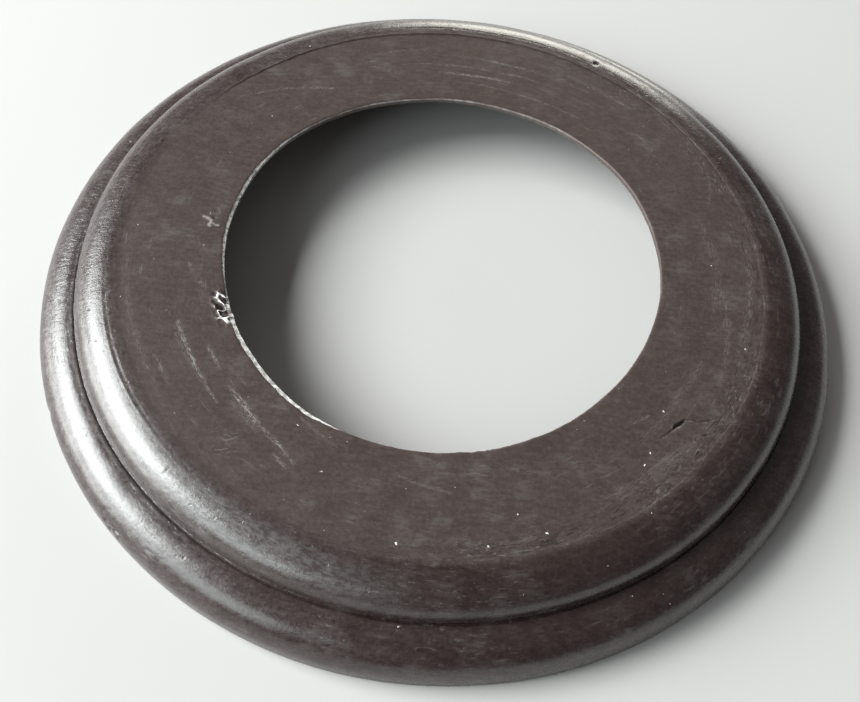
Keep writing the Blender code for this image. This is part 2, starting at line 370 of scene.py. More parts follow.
STROKES = [
    # (points as angle in degrees and radius in mm, width mm, strength)
    ([(-155.5, 32.95), (-148.0, 32.90), (-140.6, 33.12)], 0.30, 0.95),
    ([(-140.6, 33.12), (-137.5, 33.25), (-134.7, 33.41)], 0.16, 0.75),
    ([(-153.0, 33.60), (-146.0, 33.45)], 0.18, 0.35),
    ([(-147.6, 30.72), (-144.0, 30.70), (-141.3, 30.77)], 0.24, 0.80),
    ([(-136.7, 31.07), (-131.0, 31.30), (-124.9, 31.93)], 0.30, 0.95),
    ([(-126.5, 31.70), (-120.5, 32.20), (-114.9, 33.23)], 0.24, 0.75),
    ([(-133.5, 32.1), (-128.0, 32.3), (-124.0, 32.5)], 0.34, 0.35),
    ([(-120.0, 28.23), (-114.5, 28.70), (-109.1, 29.28)], 0.13, 0.45),
    ([(-119.0, 33.6), (-115.6, 34.1)], 0.22, 0.5),
    ([(-166.0, 38.2), (-152.0, 37.8), (-142.0, 38.1)], 0.30, 0.22),
    ([(-150.0, 36.6), (-143.0, 36.4)], 0.26, 0.30),
    ([(95.5, 31.82), (86.0, 31.7), (77.8, 31.83)], 0.17, 0.7),
    ([(100.0, 33.5), (84.0, 33.2), (66.0, 33.6)], 0.16, 0.38),
    ([(92.0, 35.3), (78.0, 35.0), (60.0, 35.4)], 0.22, 0.32),
    ([(88.0, 30.2), (72.0, 30.0), (58.0, 30.3)], 0.15, 0.34),
    ([(76.0, 36.8), (62.0, 36.6), (48.0, 36.9)], 0.30, 0.25),
    ([(142.3, 37.65), (133.0, 34.9), (124.4, 32.0), (120.8, 31.10)], 0.12, 0.50),
    ([(112.0, 36.0), (98.0, 36.4)], 0.18, 0.30),
    ([(-44.0, 33.4), (-30.0, 33.0), (-18.0, 33.6)], 0.45, 0.22),
    ([(-58.0, 36.4), (-46.0, 36.9), (-36.0, 37.6)], 0.60, 0.22),
    ([(-8.0, 33.5), (6.0, 34.0), (16.0, 33.2)], 0.70, 0.20),
    ([(-16.0, 37.0), (-4.0, 37.8), (8.0, 38.2)], 0.50, 0.26),
    ([(-24.0, 36.3), (-8.0, 35.2), (2.0, 33.6)], 0.40, 0.24),
    ([(173.9, 28.4), (172.6, 28.9)], 0.16, 0.8),
    ([(174.9, 29.5), (174.3, 29.7)], 0.16, 0.8),
    ([(-170.6, 30.9), (-168.4, 30.4)], 0.22, 0.5),
    ([(-165.8, 29.9), (-163.4, 28.9)], 0.34, 0.35),
    ([(-161.0, 28.9), (-152.0, 28.6)], 0.30, 0.40),
    ([(-96.0, 30.3), (-84.0, 32.0)], 0.15, 0.35),
    ([(-72.0, 29.6), (-64.0, 31.4)], 0.15, 0.40),
    ([(20.0, 35.5), (26.0, 37.6)], 0.15, 0.35),
    ([(-43.0, 31.0), (-38.5, 31.8)], 0.17, 0.40),
]


def scuffs(a, x, y):
    """Rubbed, paler marks: individual strokes broken up along their length."""
    out = np.zeros(np.shape(x))
    r = np.hypot(x, y)
    deg = np.degrees(a)
    grain = 0.75 + 0.6 * noise(np.cos(a) * 14, np.sin(a) * 14, r * 0.8, 1.0, 61)
    for points, width, strength in STROKES:
        pts = []
        for (a0, r0), (a1, r1) in zip(points, points[1:]):
            for t in np.linspace(0, 1, 5)[:-1]:
                pts.append((a0 + (a1 - a0) * t, r0 + (r1 - r0) * t))
        pts.append(points[-1])
        lo, hi = min(p[0] for p in pts), max(p[0] for p in pts)
        mid = (lo + hi) / 2
        near = (np.abs(turn_gap(deg, mid)) < (hi - lo) / 2 + 4) & (np.abs(r - pts[0][1]) < 6)
        if not np.any(near):
            continue
        path = [(q * math.cos(math.radians(p)), q * math.sin(math.radians(p)),
                 math.sin(math.pi * (i + 0.6) / (len(pts) + 0.2))) for i, (p, q) in enumerate(pts)]
        d, v = along(x[near], y[near], path)
        out[near] = np.maximum(out[near], strength * v ** 0.5 * np.exp(-(d / width) ** 2)
                               * np.clip(grain[near], 0, 1))
    return out


# ---- mesh making -----------------------------------------------------------------------
def ring_mesh(name, angles, r, z, sharp, flow_s, marks):
    """A closed ring from rows of (r, z): r and z have one row per station of the closed
    section and one column per spoke.  Returns the object, with its rest position, its flow
    coordinates and the marks stored on the points."""
    rows, cols = r.shape
    x, y = r * np.cos(angles), r * np.sin(angles)
    co = np.stack([x, y, z], -1).reshape(-1, 3)
    idx = np.arange(rows * cols).reshape(rows, cols)
    down = np.roll(idx, -1, 0)
    quads = np.stack([idx, np.roll(idx, -1, 1), np.roll(down, -1, 1), down], -1).reshape(-1, 4)
    # outward faces: the signed volume of the ring has to be positive
    p = [co[quads[:, k]] for k in range(4)]
    volume = (np.einsum("ij,ij->i", p[0], np.cross(p[1], p[2])).sum()
              + np.einsum("ij,ij->i", p[0], np.cross(p[2], p[3])).sum())
    if volume < 0:
        quads = quads[:, ::-1]
    mesh = bpy.data.meshes.new(name)
    mesh.vertices.add(len(co))
    mesh.vertices.foreach_set("co", (co * MM).astype(np.float32).ravel())
    mesh.loops.add(quads.size)
    mesh.loops.foreach_set("vertex_index", quads.astype(np.int32).ravel())
    mesh.polygons.add(len(quads))
    mesh.polygons.foreach_set("loop_start", np.arange(0, quads.size, 4, dtype=np.int32))
    mesh.polygons.foreach_set("use_smooth", np.ones(len(quads), bool))
    mesh.update(calc_edges=True)
    ends = np.zeros(len(mesh.edges) * 2, np.int32)
    mesh.edges.foreach_get("vertices", ends)
    row = ends.reshape(-1, 2) // cols
    hard = np.zeros(rows, bool)
    hard[list(sharp)] = True
    mesh.edges.foreach_set("use_edge_sharp", (row[:, 0] == row[:, 1]) & hard[row[:, 0]])
    rest = mesh.attributes.new("rest", "FLOAT_VECTOR", "POINT")
    rest.data.foreach_set("vector", co.astype(np.float32).ravel())
    s = np.broadcast_to(flow_s, r.shape)
    flow = np.stack([np.broadcast_to(np.cos(angles), r.shape),
                     np.broadcast_to(np.sin(angles), r.shape), s], -1)
    attribute = mesh.attributes.new("flow", "FLOAT_VECTOR", "POINT")
    attribute.data.foreach_set("vector", flow.astype(np.float32).ravel())
    for key, values in marks.items():
        attribute = mesh.attributes.new(key, "FLOAT", "POINT")
        attribute.data.foreach_set("value", np.broadcast_to(values, r.shape).astype(np.float32).ravel())
    mesh.validate()
    obj = bpy.data.objects.new(name, mesh)
    bpy.context.scene.collection.objects.link(obj)
    return obj


def bend(obj, weight):
    mesh = obj.data
    co = np.zeros(len(mesh.vertices) * 3, np.float32)
    mesh.vertices.foreach_get("co", co)
    lane = np.zeros((len(mesh.vertices), 3), np.float32)
    lane[:, 2] = np.clip(weight, 0, 1).ravel()
    mesh.vertices.foreach_set("co", lane.ravel())
    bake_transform(obj)
    mesh.vertices.foreach_set("co", co)
    mesh.update()


def shoulder_weight(curve, s):
    """0 at the crease and 1 at the mould line, by length along the section."""
    r, z = curve.at(s)
    return np.clip(1 - s / curve.length, 0, 1)


def web_weight(r):
    return np.clip((STEP_R - r) / (STEP_R - ZONE_R), 0, 1)


def lip_weight(r):
    return np.clip((ZONE_R - r) / (ZONE_R - LIP_BLEND_R), 0, 1)


def spread(rows, cols):
    """One value a station, as a full grid."""
    return np.repeat(np.asarray(rows, float)[:, None], cols, 1)


def skin(a, s, r, z, nr, nz):
    """Outer skin: the plain section at (s, r, z) with normal (nr, nz), raised by the relief."""
    x, y = r * np.cos(a), r * np.sin(a)
    d = relief(a, s, x, y, z)
    high, painted_shade, pale = damage(a, s, x, y)
    d = d + high
    # painted shade in the step below the mould line, where it is crisp
    wander, drop, faded, front = mould_line(a)
    painted_shade = np.maximum(painted_shade, 0.62 * (1 - faded) ** 2 * np.exp(-((s - wander + 0.09) / 0.10) ** 2))
    return r + nr * d, z + nz * d, {"painted_shade": painted_shade, "pale": pale, "wear": scuffs(a, x, y)}


def joined_marks(top, rest_shape, **extra):
    """Marks for a whole section: those of the skin rows, then zeros for the hidden rows."""
    out = {}
    for key in ("painted_shade", "pale", "wear", "cut"):
        first = top.get(key)
        first = np.zeros(top["wear"].shape) if first is None else first
        out[key] = np.concatenate([first, extra.get(key, np.zeros(rest_shape))], 0)
    return out


def section_normals(r, z):
    """Normals of a section polyline that runs from the hole outwards and down: they point out."""
    dr, dz = np.gradient(r), np.gradient(z)
    length = np.hypot(dr, dz)
    return -dz / length, dr / length


# one polyline through the shoulder and the flange gives both zones the same crease normal
shoulder_s = spaced((0.0, 0.5, 0.05), (0.5, 0.95, 0.09), (0.95, 1.7, 0.055), (1.7, CREASE_S - 1.1, 0.155),
                    (CREASE_S - 1.1, CREASE_S - 0.25, 0.075), (CREASE_S - 0.25, CREASE_S, 0.042))
flange_s = spaced((0.0, 0.25, 0.042), (0.25, 1.1, 0.085), (1.1, FLANGE.length, 0.145))
sr, sz = SHOULDER.at(shoulder_s)
fr, fz = FLANGE.at(flange_s)
outer_r = np.concatenate([[STEP_R - 0.1], sr, fr[1:]])
outer_z = np.concatenate([[FACE_Z], sz, fz[1:]])
outer_nr, outer_nz = section_normals(outer_r, outer_z)
outer_nr, outer_nz = outer_nr[1:], outer_nz[1:]
outer_nr[0], outer_nz[0] = 0.0, 1.0
SH = len(shoulder_s)

A = COVER_SPOKES
COLS = len(A)


def make_lip_cover():
    h, (bw, bd, slant) = hole_radius(A), bevel(A)
    u = np.concatenate([np.linspace(0, 0.9, 46)[:-1], np.linspace(0.9, 1, 12)])
    r = ZONE_R + (h + bw - ZONE_R) * u[:, None]
    r[0] = ZONE_R
    a = np.broadcast_to(A, r.shape)
    s = r - STEP_R
    near = np.exp(-(r - h - bw) / 0.5)
    z = np.full(r.shape, FACE_Z)
    z = z - 0.05 * np.exp(-(r - h - bw) / 0.12)
    rough = hump(turn_gap(np.degrees(a), -156.5), 0, 7.0)
    x, y = r * np.cos(a), r * np.sin(a)
    fragments = noise(x * 0.8 + 0.5 * y, y * 0.9, 0, 0.80, 71)
    ridge = np.exp(-((fragments - 0.10) / 0.17) ** 2)
    lift = rough * ramp(28.9 - r, 0.0, 0.8) * (0.20 * ridge - 0.16 * (1 - ridge) + 0.12 * noise(x, y, 0, 0.60, 72))
    r1, z1, marks = skin(a, s, r, z, 0.0, 1.0)
    z1 = z1 + lift
    patch = ramp(rough, 0.03, 0.35) * ramp(28.9 - r, 0.0, 0.7)
    marks["cut"] = patch * ramp(ridge * (1 + 0.5 * noise(x, y, 0, 0.50, 73)), 0.50, 0.85)
    # painted shade between the raised fragments of the ragged patch
    marks["painted_shade"] = np.maximum(marks["painted_shade"], patch * (1 - ramp(ridge, 0.12, 0.50))
                               * ramp(noise(x, y, 0, 1.1, 79), -0.25, 0.10))
    # slanted knife cut, then the upright cut face
    steps = np.array([0.12, 0.4, 0.7, 1.0])[:, None]
    chatter = 0.012 * noise(h * np.cos(A) * 1.0, h * np.sin(A), 0, 0.35, 75)
    br = h + bw * (1 - steps) + 0.04 * np.sin(steps * math.pi) * bw
    bz = z1[-1] - 0.02 - bd * steps + chatter * np.sin(steps * math.pi)
    floor_z = FACE_Z - COVER_T
    bz = np.maximum(bz, floor_z + 0.22 + 0.0 * bz)
    cut_u = np.array([0.3, 0.62, 0.92])[:, None]
    cz = bz[-1] + (floor_z + 0.03 - bz[-1]) * cut_u
    cx, cy = h * np.cos(A), h * np.sin(A)
    cr = h + 0.05 * cut_u + 0.030 * noise(cx, cy, cz * 1.5, 0.9, 76) + 0.015 * noise(cx * 2.5, cy * 2.5, cz * 0.4, 1.0, 77)
    under_r = np.stack([h + 0.12, h + 0.6, h * 0 + LINER_END_R, h * 0 + 31.2, h * 0 + ZONE_R - 0.5,
                        h * 0 + ZONE_R - 0.03])
    ux, uy = under_r * np.cos(A), under_r * np.sin(A)
    under_z = floor_z + 0.02 * noise(ux, uy, 0, 2.0, 78) * np.array([1, 1, 1, 0, 0, 0])[:, None]
    r2 = np.concatenate([br, cr, under_r, h[None] * 0 + ZONE_R - 0.03])
    z2 = np.concatenate([bz, cz, under_z, z1[:1] - 0.10])
    # the cut faces are painted pale: partly the paler fresh-cut rubber, partly a painted highlight where the slanted
    # edge catches the light
    fresh_cut_and_glint = ramp(1.35 * slant, 0.0, 0.55)
    cut = np.concatenate([0.30 + 0.70 * np.broadcast_to(fresh_cut_and_glint, br.shape), 0.30 + 0.40 * np.broadcast_to(fresh_cut_and_glint, cr.shape),
                          np.zeros(under_r.shape), np.zeros((1, COLS))])
    marks = joined_marks(marks, r2.shape, cut=cut)
    r, z = np.concatenate([r1, r2]), np.concatenate([z1, z2])
    n = len(r1)
    flow = np.concatenate([s, np.broadcast_to(h + 0 * r2 - STEP_R, r2.shape)])
    sharp = {0, n + len(br) - 1, n + len(br) + len(cr) - 1, len(r) - 1, len(r) - 2}
    obj = ring_mesh("lip_cover_skin", A, r, z, sharp, flow, marks)
    bend(obj, lip_weight(r))
    return obj, z1[0]


def make_web_cover(edge_z):
    r = np.concatenate([spaced((ZONE_R, 38.4, 0.115), (38.4, 39.1, 0.08), (39.1, STEP_R, 0.05))])
    r = spread(r, COLS)
    a = np.broadcast_to(A, r.shape)
    s = r - STEP_R
    r1, z1, marks = skin(a, s, r, np.full(r.shape, FACE_Z), 0.0, 1.0)
    floor_z = FACE_Z - COVER_T
    r2 = spread([STEP_R - 0.03, STEP_R - 0.03, 37.0, 35.0, ZONE_R + 0.03, ZONE_R + 0.03], COLS)
    z2 = spread([FACE_Z - 0.25, floor_z, floor_z, floor_z, floor_z, FACE_Z - 0.25], COLS)
    r, z = np.concatenate([r1, r2]), np.concatenate([z1, z2])
    n = len(r1)
    sharp = {0, n - 1, n, n + 1, len(r) - 2, len(r) - 1}
    obj = ring_mesh("web_cover_skin", A, r, z, sharp, r - STEP_R, joined_marks(marks, r2.shape))
    bend(obj, web_weight(r))
    return obj


def make_shoulder_cover():
    s = spread(shoulder_s, COLS)
    a = np.broadcast_to(A, s.shape)
    r, z = spread(sr, COLS), spread(sz, COLS)
    r1, z1, marks = skin(a, s, r, z, spread(outer_nr[:SH], COLS), spread(outer_nz[:SH], COLS))
    inner = shoulder_curve(COVER_T)
    back_s = np.linspace(inner.length, 0, 14)
    ir, iz = inner.at(back_s)
    r2, z2 = spread(ir, COLS), spread(iz, COLS)
    gap_r = np.stack([r1[-1] - 0.10, r1[0] * 0 + STEP_R + 0.03])
    gap_z = np.stack([z1[-1] + 0.03, z1[0] * 0 + FACE_Z - 0.25])
    z2[0] = CREASE_Z + 0.03
    r2[-1] = STEP_R + 0.03
    r = np.concatenate([r1, gap_r[:1], r2, gap_r[1:]])
    z = np.concatenate([z1, gap_z[:1], z2, gap_z[1:]])
    along_s = np.concatenate([shoulder_s, [CREASE_S], back_s / inner.length * CREASE_S, [0.0]])
    n = len(r1)
    obj = ring_mesh("shoulder_cover_skin", A, r, z, {0, n - 1, n, n + 1, len(r) - 2, len(r) - 1},
                    along_s[:, None], joined_marks(marks, (len(r) - n, COLS)))
    bend(obj, spread(1 - along_s / CREASE_S, COLS))
    return obj


def make_flange_cover():
    s = spread(CREASE_S + flange_s, COLS)
    a = np.broadcast_to(A, s.shape)
    r, z = spread(fr, COLS), spread(fz, COLS)
    r1, z1, marks = skin(a, s, r, z, spread(outer_nr[SH - 1:], COLS), spread(outer_nz[SH - 1:], COLS))
    # rolled foot, and the flat ring that the flange stands on
    turn = np.radians([20, 45, 70, 90])
    foot_r = FLANGE_R - 0.45 + 0.45 * np.cos(turn)
    foot_z = 0.45 - 0.45 * np.sin(turn)
    foot_d = r1[-1] - FLANGE_R
    r_foot = foot_r[:, None] + foot_d * np.linspace(0.9, 0.3, 4)[:, None]
    z_foot = spread(foot_z, COLS)
    inner = flange_curve(COVER_T)
    inner_s = np.linspace(inner.length, 0, 14)
    ir, iz = inner.at(inner_s)
    r2 = np.concatenate([spread([FLANGE_R - COVER_T], COLS), spread(ir, COLS),
                         spread([CREASE_R - COVER_T, CREASE_R - COVER_T], COLS)])
    z2 = np.concatenate([spread([0.0], COLS), spread(iz, COLS),
                         spread([CREASE_Z - COVER_T, CREASE_Z - 0.03], COLS)])
    last_r, last_z = r1[:1] - 0.10, z1[:1] - 0.03
    r = np.concatenate([r1, r_foot, r2, last_r])
    z = np.concatenate([z1, z_foot, z2, last_z])
    n = len(r1)
    rest = (len(r) - n, COLS)
    along_s = np.concatenate([CREASE_S + flange_s, CREASE_S + FLANGE.length + 0.2 * np.arange(len(r) - n)])
    sharp = {0, n + 3, n + 4, len(r) - 3, len(r) - 2, len(r) - 1, n + 4 + 14}
    obj = ring_mesh("flange_cover_skin", A, r, z, sharp, along_s[:, None], joined_marks(marks, rest))
    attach(obj, "flange")
    return obj


# ---- inner layers ----------------------------------------------------------------------
def zeros_like(r):
    return {k: np.zeros(r.shape) for k in ("painted_shade", "pale", "wear", "cut")}


def weave(a, s, depth=0.045):
    """Plain weave relief: 210 cords round the ring, crossed every 1.15 mm."""
    over = np.cos(210 * a) * np.cos(math.pi * s / 0.58)
    cords = 0.5 * np.abs(np.cos(105 * a)) ** 0.8
    return depth * (0.75 * over + 0.5 * cords)


def layer_rows(angles, s, r, z, nr, nz, amount):
    a = np.broadcast_to(angles, (len(s), len(angles)))
    d = weave(a, spread(s, len(angles)), amount)
    return (spread(r, len(angles)) + spread(nr, len(angles)) * d,
            spread(z, len(angles)) + spread(nz, len(angles)) * d)


def make_ply(name, top, bottom, reverse_amount=0.045):
    """top and bottom: (s, r, z) of the ply's two faces, both from the inside outwards."""
    angles = EVEN_SPOKES[960]
    ts, tr, tz = top
    bs, br_, bz = bottom
    nr, nz = section_normals(tr, tz)
    r1, z1 = layer_rows(angles, ts, tr, tz, nr, nz, reverse_amount)
    mr, mz = section_normals(br_, bz)
    r2, z2 = layer_rows(angles, bs, br_, bz, mr, mz, reverse_amount)
    r = np.concatenate([r1, r2[::-1]])
    z = np.concatenate([z1, z2[::-1]])
    flow = np.concatenate([ts, bs[::-1]])
    n = len(r1)
    return ring_mesh(name, angles, r, z, {0, n - 1, n, len(r) - 1}, flow[:, None], zeros_like(r)), r, flow


def level(r0, r1, z, step=0.29):
    r = spaced((r0, r1, step))
    return r - STEP_R, r, np.full(len(r), z)


def curve_rows(curve, start, step=0.29):
    s = spaced((0.0, curve.length, step))
    r, z = curve.at(s)
    return s + start, r, z


TOP, BOT = PLY_TOP + 0.05, PLY_BOT - 0.05          # room for the weave's own height


def make_plies():
    made = {}
    made["lip_ply"], r, _ = make_ply("lip_ply_cloth", level(PLY_END_R, ZONE_R - 0.02, FACE_Z - TOP),
                                     level(PLY_END_R, ZONE_R - 0.02, FACE_Z - BOT))
    bend(made["lip_ply"], lip_weight(r))
    made["web_ply"], r, _ = make_ply("web_ply_cloth", level(ZONE_R + 0.02, STEP_R - 0.02, FACE_Z - TOP),
                                     level(ZONE_R + 0.02, STEP_R - 0.02, FACE_Z - BOT))
    bend(made["web_ply"], web_weight(r))
    up, low = shoulder_curve(TOP), shoulder_curve(BOT)
    su, ru, zu = curve_rows(up, 0.0)
    sl, rl, zl = curve_rows(low, 0.0)
    ru[0] = rl[0] = STEP_R + 0.02
    zu[-1] = zl[-1] = CREASE_Z + 0.03
    made["shoulder_ply"], r, flow = make_ply("shoulder_ply_cloth", (su * CREASE_S / up.length, ru, zu),
                                             (sl * CREASE_S / low.length, rl, zl))
    bend(made["shoulder_ply"], spread(1 - flow / CREASE_S, r.shape[1]))
    # turned out into the flange: down from the crease, out over the bead and down the rim
    fu, fl = flange_curve(TOP, 0.95), flange_curve(BOT, 0.95)
    s1, r1, z1 = curve_rows(fu, 0.0)
    s2, r2, z2 = curve_rows(fl, 0.0)
    stem_z = np.linspace(CREASE_Z - 0.03, CREASE_Z - TOP + 0.15, 5)
    k1 = r1 > CREASE_R - TOP + 0.1
    k2 = z2 < CREASE_Z - BOT + 0.01
    top_r = np.concatenate([np.full(5, CREASE_R - TOP), r1[k1]])
    top_z = np.concatenate([stem_z, z1[k1]])
    low_z = np.linspace(CREASE_Z - 0.03, CREASE_Z - BOT + 0.15, 5)
    low_r = np.concatenate([np.full(5, CREASE_R - BOT), r2[k2]])
    low_z = np.concatenate([low_z, z2[k2]])
    run1 = np.concatenate([[0], np.cumsum(np.hypot(np.diff(top_r), np.diff(top_z)))])
    run2 = np.concatenate([[0], np.cumsum(np.hypot(np.diff(low_r), np.diff(low_z)))])
    made["flange_ply"], r, _ = make_ply("flange_ply_cloth", (run1 + CREASE_S, top_r, top_z),
                                        (run2 + CREASE_S, low_r, low_z))
    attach(made["flange_ply"], "flange")
    return made


def liner_relief(x, y, z):
    """Inside face: cloth-marked, slightly lumpy rubber."""
    return 0.05 * noise(x, y, z, 9.0, 81) + 0.018 * noise(x, y, z, 2.2, 82) + 0.010 * noise(x, y, z, 0.8, 83)


def make_liners():
    made = {}
    angles = EVEN_SPOKES[720]
    cols = len(angles)

    def worked(r, z, nr, nz, amount=1.0):
        x, y = r * np.cos(angles), r * np.sin(angles)
        d = liner_relief(x, y, z) * amount
        return r + nr * d, z + nz * d

    def ease(v, ends):
        """Full relief inside a zone, none at ends."""
        out = np.ones(len(v))
        for e in ends:
            out *= ramp(np.abs(v - e), 0.0, 0.8)
        return out[:, None]

    # lip liner, feathered out below the cover
    r_in = LINER_END_R + 0.10 * noise(29 * np.cos(angles), 29 * np.sin(angles), 0, 3.0, 84)
    top_r = np.stack([r_in, r_in + 0.3, r_in + 0.7, r_in * 0 + PLY_END_R - BOND])
    top_z = spread([FACE_Z - PLY_TOP] * 4, cols) + np.array([-0.02, 0, 0, 0])[:, None]
    r2 = spread(spaced((PLY_END_R - BOND, ZONE_R - 0.02, 0.5)), cols)
    z2 = spread([FACE_Z - LINER_TOP] * len(r2), cols)
    r3v = spaced((LINER_END_R + 2.0, ZONE_R - 0.02, 0.16))[::-1]
    r3 = spread(r3v, cols)
    r3, z3 = worked(r3, spread([FACE_Z - LINER_BOT] * len(r3v), cols), 0.0, -ease(r3v, [ZONE_R]))
    t = np.linspace(0.08, 1, 14)[:, None]
    r4 = r3[-1] + (r_in - r3[-1]) * t
    z4 = z3[-1] + (FACE_Z - PLY_BOT + 0.10 - z3[-1]) * (0.35 * t + 0.65 * t * t)
    r = np.concatenate([top_r, r2, r3, r4])
    z = np.concatenate([top_z, z2, z3, z4])
    n = len(top_r)
    obj = ring_mesh("lip_liner_skin", angles, r, z,
                    {0, n - 1, n, n + len(r2) - 1, n + len(r2), len(r) - 1}, r - STEP_R, zeros_like(r))
    bend(obj, lip_weight(r))
    made["lip_liner"] = obj

    # web liner
    rt = spaced((ZONE_R + 0.02, STEP_R - 0.02, 0.7))
    rb = spaced((ZONE_R + 0.02, STEP_R - 0.02, 0.16))[::-1]
    r3, z3 = worked(spread(rb, cols), spread([FACE_Z - LINER_BOT] * len(rb), cols), 0.0,
                    -ease(rb, [ZONE_R, STEP_R]))
    r = np.concatenate([spread(rt, cols), r3])
    z = np.concatenate([spread([FACE_Z - LINER_TOP] * len(rt), cols), z3])
    obj = ring_mesh("web_liner_skin", angles, r, z, {0, len(rt) - 1, len(rt), len(r) - 1},
                    r - STEP_R, zeros_like(r))
    bend(obj, web_weight(r))
    made["web_liner"] = obj

    # shoulder liner
    up, low = shoulder_curve(LINER_TOP), shoulder_curve(LINER_BOT)
    ut = np.linspace(0, up.length, 18)
    lb = spaced((0.0, low.length, 0.14))
    ur, uz = up.at(ut)
    lr, lz = low.at(lb)
    nr, nz = section_normals(lr, lz)
    nr[0], nz[0], nr[-1], nz[-1] = 0.0, 1.0, 1.0, 0.0
    ur[0], lr[0] = STEP_R + 0.02, STEP_R + 0.02
    uz[-1], lz[-1] = CREASE_Z + 0.03, CREASE_Z + 0.03
    keep = ramp(lb, 0, 0.8) * ramp(low.length - lb, 0, 0.8)
    r3, z3 = worked(spread(lr, cols), spread(lz, cols), -(nr * keep)[:, None], -(nz * keep)[:, None])
    r = np.concatenate([spread(ur, cols), r3[::-1]])
    z = np.concatenate([spread(uz, cols), z3[::-1]])
    share = np.concatenate([ut / up.length, (lb / low.length)[::-1]])
    obj = ring_mesh("shoulder_liner_skin", angles, r, z, {0, len(ut) - 1, len(ut), len(r) - 1},
                    (share * CREASE_S)[:, None], zeros_like(r))
    bend(obj, spread(1 - share, cols))
    made["shoulder_liner"] = obj

    # seat: liner wall below the crease, groove under the bead wire, flat foot
    inner_r = CREASE_R - LINER_BOT
    wall_z = spaced((0.55, CREASE_Z - 0.03, 0.16))
    wr, wz = worked(spread([inner_r] * len(wall_z), cols), spread(wall_z, cols),
                    -(ramp(CREASE_Z - wall_z, 0.0, 0.8) * ramp(wall_z, 0.5, 1.2))[:, None], 0.0)
    groove = np.radians(np.linspace(180, 360, 13))
    clear = WIRE_RADIUS + 0.10
    g_r = WIRE_R + clear * np.cos(groove)
    g_z = WIRE_Z - 0.06 + clear * np.sin(groove)
    rim = flange_curve(LINER_TOP)
    rr = np.interp(-(WIRE_Z - 0.06), -rim.z, rim.r)
    top = [(CREASE_R - LINER_TOP, CREASE_Z - 0.03), (CREASE_R - LINER_TOP, 4.0),
           (CREASE_R - LINER_TOP, WIRE_Z - 0.06)]
    right = [(rr, WIRE_Z - 0.06), (FLANGE_R - LINER_TOP, WALL_Z), (FLANGE_R - LINER_TOP, 0.78),
             (FLANGE_R - PLY_TOP, 0.78), (FLANGE_R - PLY_TOP, 0.12), (FLANGE_R - PLY_TOP - 0.12, 0.0)]
    foot_r = spaced((inner_r + 0.5, FLANGE_R - PLY_TOP - 0.4, 0.24))[::-1]
    # shallow moulded rings in the flat foot, for grip on the seat
    rings = 0.10 * np.maximum(0, np.cos((foot_r - 46.0) * 2 * math.pi / 1.1)) ** 2 \
        * ramp(foot_r, 43.8, 44.3) * (1 - ramp(foot_r, 47.6, 48.1))
    foot = [(a_, b_) for a_, b_ in zip(foot_r, rings)]
    heel = [(inner_r + 0.24, 0.07), (inner_r + 0.07, 0.24)]
    pts = top + list(zip(g_r, g_z)) + right + foot + heel
    r = np.concatenate([spread([p[0] for p in pts], cols), wr])
    z = np.concatenate([spread([p[1] for p in pts], cols), wz])
    k = len(top) + len(g_r)
    sharp = {0, 2, 3, 2 + len(g_r), k, k + 2, k + 3, len(r) - 1}
    arc_s = CREASE_S + np.concatenate([[0], np.cumsum(np.hypot(np.diff(r[:, 0]), np.diff(z[:, 0])))])
    obj = ring_mesh("flange_seat_skin", angles, r, z, sharp, arc_s[:, None], zeros_like(r))
    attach(obj, "flange")
    made["flange_seat"] = obj
    return made


def make_bead():
    made = {}
    angles = EVEN_SPOKES[720]
    cols = len(angles)
    # bead wire: one hoop of seven strands laid together
    count = 84
    t = np.arange(count) * 2 * math.pi / count
    a = np.broadcast_to(angles, (count, cols))
    twist = t[:, None] - 24 * angles[None, :]
    bulge = np.abs(np.cos(3 * (twist))) ** 0.55
    rad = WIRE_RADIUS * (0.86 + 0.12 * bulge)
    r = WIRE_R + rad * np.cos(t)[:, None]
    z = WIRE_Z + rad * np.sin(t)[:, None]
    lane = np.broadcast_to((t * WIRE_RADIUS)[:, None], r.shape)
    marks = zeros_like(r)
    # painted shade in the grooves between the strands
    marks["painted_shade"] = 1 - bulge
    obj = ring_mesh("bead_wire_hoop", angles, r, z, set(), lane, marks)
    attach(obj, "flange")
    made["bead_wire"] = obj
    # filler: the wedge between the wire and the ply
    rim = flange_curve(LINER_TOP)
    keep = (rim.z > WIRE_Z + 0.06)
    s = np.linspace(0, rim.s[keep][-1], 26)
    top_r, top_z = rim.at(s)
    ring = np.radians(np.linspace(0, 180, 15))
    clear = WIRE_RADIUS + 0.10
    pts = [(CREASE_R - PLY_BOT + 0.02, CREASE_Z - LINER_TOP)]
    pts += [(p, q) for p, q in zip(top_r, top_z) if p > CREASE_R - PLY_BOT + 0.2]
    pts += [(p, q) for p, q in zip(WIRE_R + clear * np.cos(ring), WIRE_Z + 0.06 + clear * np.sin(ring))]
    pts += [(CREASE_R - PLY_BOT + 0.02, WIRE_Z + 0.06)]
    r = spread([p[0] for p in pts], cols)
    z = spread([p[1] for p in pts], cols)
    x, y = r * np.cos(angles), r * np.sin(angles)
    z = z + 0.02 * noise(x, y, z, 2.5, 91)
    n_top = sum(1 for p in top_r if p > CREASE_R - PLY_BOT + 0.2)
    sharp = {0, n_top, n_top + 1, n_top + 15, len(pts) - 1}
    arc_s = np.concatenate([[0], np.cumsum(np.hypot(np.diff(r[:, 0]), np.diff(z[:, 0])))])
    obj = ring_mesh("bead_filler_wedge", angles, r, z, sharp, arc_s[:, None], zeros_like(r))
    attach(obj, "flange")
    made["bead_filler"] = obj
    return made


